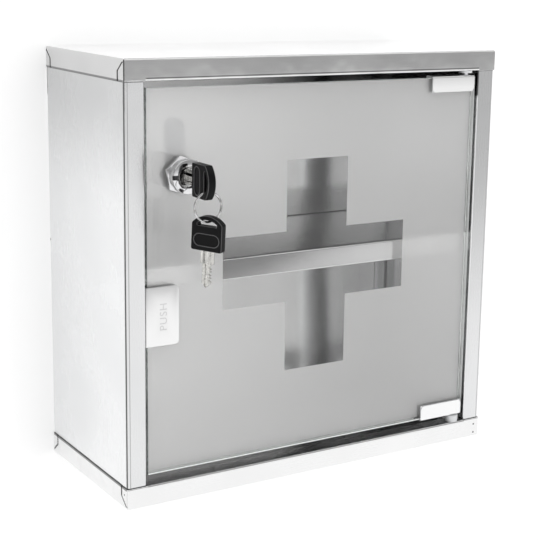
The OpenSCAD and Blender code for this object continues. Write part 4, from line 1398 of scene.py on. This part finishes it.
# %% Key blades
BLADE_W = 6.5
BLADE_T = 2.0
SHOULDER_L = 8.5
SHOULDER_W = 9.4
BLADE_L = 24
NOTCHES = (2.4, 4.4, 6.5, 8.6, 10.6)
NOTCH_DEPTHS = (1.5, 1.0, 1.8, 1.2, 1.6)
NOTCH_SLOPE = 1.5
NOTCH_FLAT = 0.2
SMALL_NOTCH = 0.4
TIP_HALF = 0.35
HALF_SECTION = np.array([(-3.25, -0.72), (-2.95, -1.0), (-2.3, -1.0), (-2.0, -0.45), (0.7, -0.45),
                         (1.0, -1.0), (2.95, -1.0), (3.25, -0.72)])
BLADE_SECTION = np.concatenate([HALF_SECTION, -HALF_SECTION])


def blade_half_width(v, share):
    """From the blade's middle to one edge at v: half its width, less share of each notch, whose sides slope
    by NOTCH_SLOPE, and a pointed end."""
    half = np.full_like(v, BLADE_W / 2)
    for down, depth in zip(NOTCHES, NOTCH_DEPTHS):
        away = np.maximum(np.abs(v + SHOULDER_L + down) - NOTCH_FLAT, 0)
        half = np.minimum(half, BLADE_W / 2 - share * (depth - NOTCH_SLOPE * away))
    half = np.where(v > -SHOULDER_L, BLADE_W / 2, half)
    return np.minimum(half, TIP_HALF + BLADE_L + v)


def key_blade(name, node, body, place):
    """The milled bar and the wide shoulder, which is a plate with rounded edges."""
    v = np.concatenate([[0], np.arange(-SHOULDER_L + 0.1, -BLADE_L, -0.1), [-BLADE_L]])
    across = np.clip(BLADE_SECTION[:, 0][None], -blade_half_width(v, SMALL_NOTCH)[:, None],
                     blade_half_width(v, 1)[:, None])
    bar = np.stack([across, v[:, None] + 0 * across, BLADE_SECTION[:, 1] + 0 * across], axis=-1)
    half_w = SHOULDER_W / 2
    half_t = BLADE_T / 2
    outline = rounded_loop(rectangle(-half_w, -half_t, half_w, half_t), [0.3] * 4, 3)
    shoulder = prism(outline, -SHOULDER_L, -0.02, FROM_FRONT)
    piece = solid(name, [tube(bar), shoulder], nickel, body, node, 30, place)
    return round_edges(piece, angle=50)


key_blade("key_in_lock_blade", "key_one_blade", "key_one", key_one_place)
key_blade("hanging_key_blade", "key_two_blade", "key_two", key_two_place)
print("blade length, mm:", BLADE_L)

# %% [markdown]
# A key ring is a wire wound twice, and the two turns lie flat against each other. One turn steps over to
# the other beside each end of the wire. The tube follows that line: its radius is constant, and its place
# across the ring goes from one side to the other in a short smooth step.

# %% Split ring
RING_R = 9.5
WIRE_HALF = 0.65
WIRE_FLAT = 0.49
RING_TURNS = 1.96
RING_START = 150
STEP_LENGTH = 0.26
RING_CENTRE_Z = RING_BOTTOM[2] + RING_R


def split_ring():
    """An elliptical section, half as thick as the ring, carried round nearly twice. The step across is
    smooth: 3 s s - 2 s s s, with s from 0 to 1 over STEP_LENGTH half turns in the middle."""
    turn = np.linspace(0, RING_TURNS * 2 * math.pi, 300)
    s = np.clip((turn - (RING_TURNS - STEP_LENGTH / 2) * math.pi) / (STEP_LENGTH * math.pi), 0, 1)
    shift = (3 * s ** 2 - 2 * s ** 3 - 0.5) * WIRE_HALF
    round_wire = full_turn(16)
    radius = RING_R + WIRE_HALF * np.cos(round_wire)
    angle = (turn + math.radians(RING_START))[:, None]
    y = RING_BOTTOM[1] + shift[:, None] + WIRE_FLAT * WIRE_HALF * np.sin(round_wire)
    rings = np.stack([LOCK_X + radius * np.cos(angle), y, RING_CENTRE_Z + radius * np.sin(angle)], axis=-1)
    return solid("split_ring", [tube(rings)], chrome_wire, "key_ring", "key_ring", 50)


ring = split_ring()
print("ring faces:", len(ring.data.polygons))

# %% [markdown]
# The frosted film is laid on the glass from behind, and left open in a cross and round the lock. It is
# made a hair behind the glass instead of exactly on it, because two faces in one place flicker.

# %% Frosted film
FILM_GAP = 0.03
CROSS_LONG = 75
CROSS_SHORT = 25
CROSS_UP = 1.5
LOCK_HOLE_R = 8.7
film_low, film_high = corners("frosted_film")


def frosted_film():
    """The film's rectangle, with the cross and the lock's hole cut out of it, and its smooth rear face."""
    sheet = prism(rectangle(film_low[0], film_low[2], film_high[0], film_high[2]), film_low[1] + FILM_GAP,
                  film_high[1], FROM_FRONT)
    piece = solid("film_sheet", [sheet], frosted, "door", "frosted_film")
    cross_z = glass_middle + CROSS_UP
    cuts = [rectangle(-half_x, cross_z - half_z, half_x, cross_z + half_z)
            for half_x, half_z in ((CROSS_LONG, CROSS_SHORT), (CROSS_SHORT, CROSS_LONG))]
    angle = full_turn(64)
    cuts.append((LOCK_X, LOCK_Z) + LOCK_HOLE_R * np.stack([np.cos(angle), np.sin(angle)], axis=1))
    cut_out(piece, [prism(outline, film_low[1] - 1, film_high[1] + 1, FROM_FRONT) for outline in cuts])
    second_material(piece.data, film_back, face_values(piece.data, "normal")[:, 1] > 0.9)
    return piece


film = frosted_film()
print("film faces:", len(film.data.polygons))

# %% [markdown]
# The cabinet hangs on a white wall above a pale floor. Both belong to the studio, not to the part. The
# wall glows a little so that it comes out white, and the rest of its light is real, so that the cabinet
# still throws a shadow on it. Its back is see-through: a camera behind it then sees the cabinet's back.
# Mirrored in the metal or seen through the film, the floor is plain white.

# %% Wall and floor
WALL_GLOW = 0.38
WALL_WHITE = (0.8, 0.8, 0.8, 1)
WALL_Y = 0.0006
WALL_HALF = 3
WALL_TOP = 2.5
FLOOR_Z = -0.75
FLOOR_HALF = 4
FLOOR_TONES = ((0.78, 0.78, 0.78), (0.82, 0.82, 0.82))
WHITE = (1, 1, 1, 1)


def plane(name, points, material):
    """A flat face through four points, in metres, with its material, put in the scene."""
    mesh = bpy.data.meshes.new(name)
    mesh.from_pydata(points, [], [(0, 1, 2, 3)])
    mesh.materials.append(material)
    scenery = in_scene(name, mesh)
    return scenery


def show_instead(paint, share, second):
    """Shows the second shader in place of the paint's own where share is 1."""
    shown = paint.node("ShaderNodeMixShader", {}, {0: share, 1: paint.shader.outputs[0], 2: second})
    paint.set(paint.output, "Surface", shown)


wall_paint = Paint("wall_white", Roughness=0.9, Base_Color=WALL_WHITE, Emission_Color=WHITE,
                   Emission_Strength=WALL_GLOW)
see_through = wall_paint.node("ShaderNodeBsdfTransparent", {}, {})
show_instead(wall_paint, wall_paint.node("ShaderNodeNewGeometry", {}, {}, "Backfacing"), see_through)
wall = plane("wall", [(x, WALL_Y, z) for x, z in rectangle(-WALL_HALF, FLOOR_Z, WALL_HALF, WALL_TOP)],
             wall_paint.material)
wall.visible_shadow = False
floor_paint = Paint("pale_floor", Roughness=0.8)
floor_paint.use(Base_Color=floor_paint.mix(floor_paint.noise(3), *FLOOR_TONES))
glossy, passing = (floor_paint.node("ShaderNodeLightPath", {}, {}, ray)
                   for ray in ("Is Glossy Ray", "Is Transmission Ray"))
floor_glow = floor_paint.node("ShaderNodeEmission", {}, {"Color": WHITE, "Strength": 1.0})
show_instead(floor_paint, glossy.most(passing), floor_glow)
plane("floor", [(x, y, FLOOR_Z) for x, y in rectangle(-FLOOR_HALF, -FLOOR_HALF, FLOOR_HALF, FLOOR_HALF)],
      floor_paint.material)
print("wall normal:", [round(v) for v in wall.data.polygons[0].normal])

# %% [markdown]
# Satin metal shows the room, so the room is drawn: the world is a soft gradient over a ray's rise,
# white below, grey near the horizon and in a band above it, and pale again overhead. A stand a little
# darker than the room, with a pale middle, at the front left, draws soft lines in bends and chrome. Light
# that came through the frosted film has no direction left, so such rays see an even white room. One large
# soft lamp in front of the cabinet, a little to the right and above, makes the key light.

# %% Light
RISE = ((0.0, 0.85), (0.3, 0.95), (0.39, 1.0), (0.43, 1.0), (0.46, 0.92), (0.5, 0.7), (0.54, 0.46),
        (0.6, 0.335), (0.7, 0.35), (0.8, 0.75), (0.88, 0.95), (0.93, 0.78), (1.0, 0.72))
STAND = Vector((-0.535, -0.82, -0.1)).normalized()
STAND_STEPS = ((0.0, 1.0), (0.88, 1.0), (0.93, 0.85), (0.965, 0.8), (0.985, 1.0), (1.0, 1.0))
LAMP_PLACE = (0.2, -2.6, 0.3)
LAMP_SIZE = 1.3
LAMP_POWER = 18.5

world = bpy.data.worlds.new("studio")
bpy.context.scene.world = world
world.use_nodes = True
sky = Nodes(world.node_tree)
background = world.node_tree.nodes["Background"]
ray = sky.node("ShaderNodeTexCoord", {}, {}, "Generated")
# The first ramp runs over the ray's rise, and is 0 straight down and 1 straight up.
rise = sky.node("ShaderNodeSeparateXYZ", {}, {0: ray}, "Z") * 0.5 + 0.5
studio = sky.node("ShaderNodeValToRGB", {"stops": RISE}, {0: rise})
# The second runs over how near a ray comes to the stand in front of the cabinet, to the left.
near = sky.node("ShaderNodeVectorMath", {"operation": "DOT_PRODUCT"}, {0: ray, 1: STAND}, "Value").most(0)
stand = sky.node("ShaderNodeValToRGB", {"stops": STAND_STEPS}, {0: near})
through_film = sky.node("ShaderNodeLightPath", {}, {}, "Is Transmission Ray")
sky.set(background, "Color", (studio * stand).most(through_film))
sky.set(background, "Strength", 1.0)
lamp_data = bpy.data.lights.new("key_lamp", "AREA")
lamp_data.size = LAMP_SIZE
lamp_data.energy = LAMP_POWER
lamp = in_scene("key_lamp", lamp_data)
aim = Vector(LAMP_PLACE).to_track_quat("Z", "Y").to_matrix().to_4x4()
lamp.matrix_world = Matrix.Translation(LAMP_PLACE) @ aim
lamp.visible_glossy = False
print("studio stops:", len(RISE))
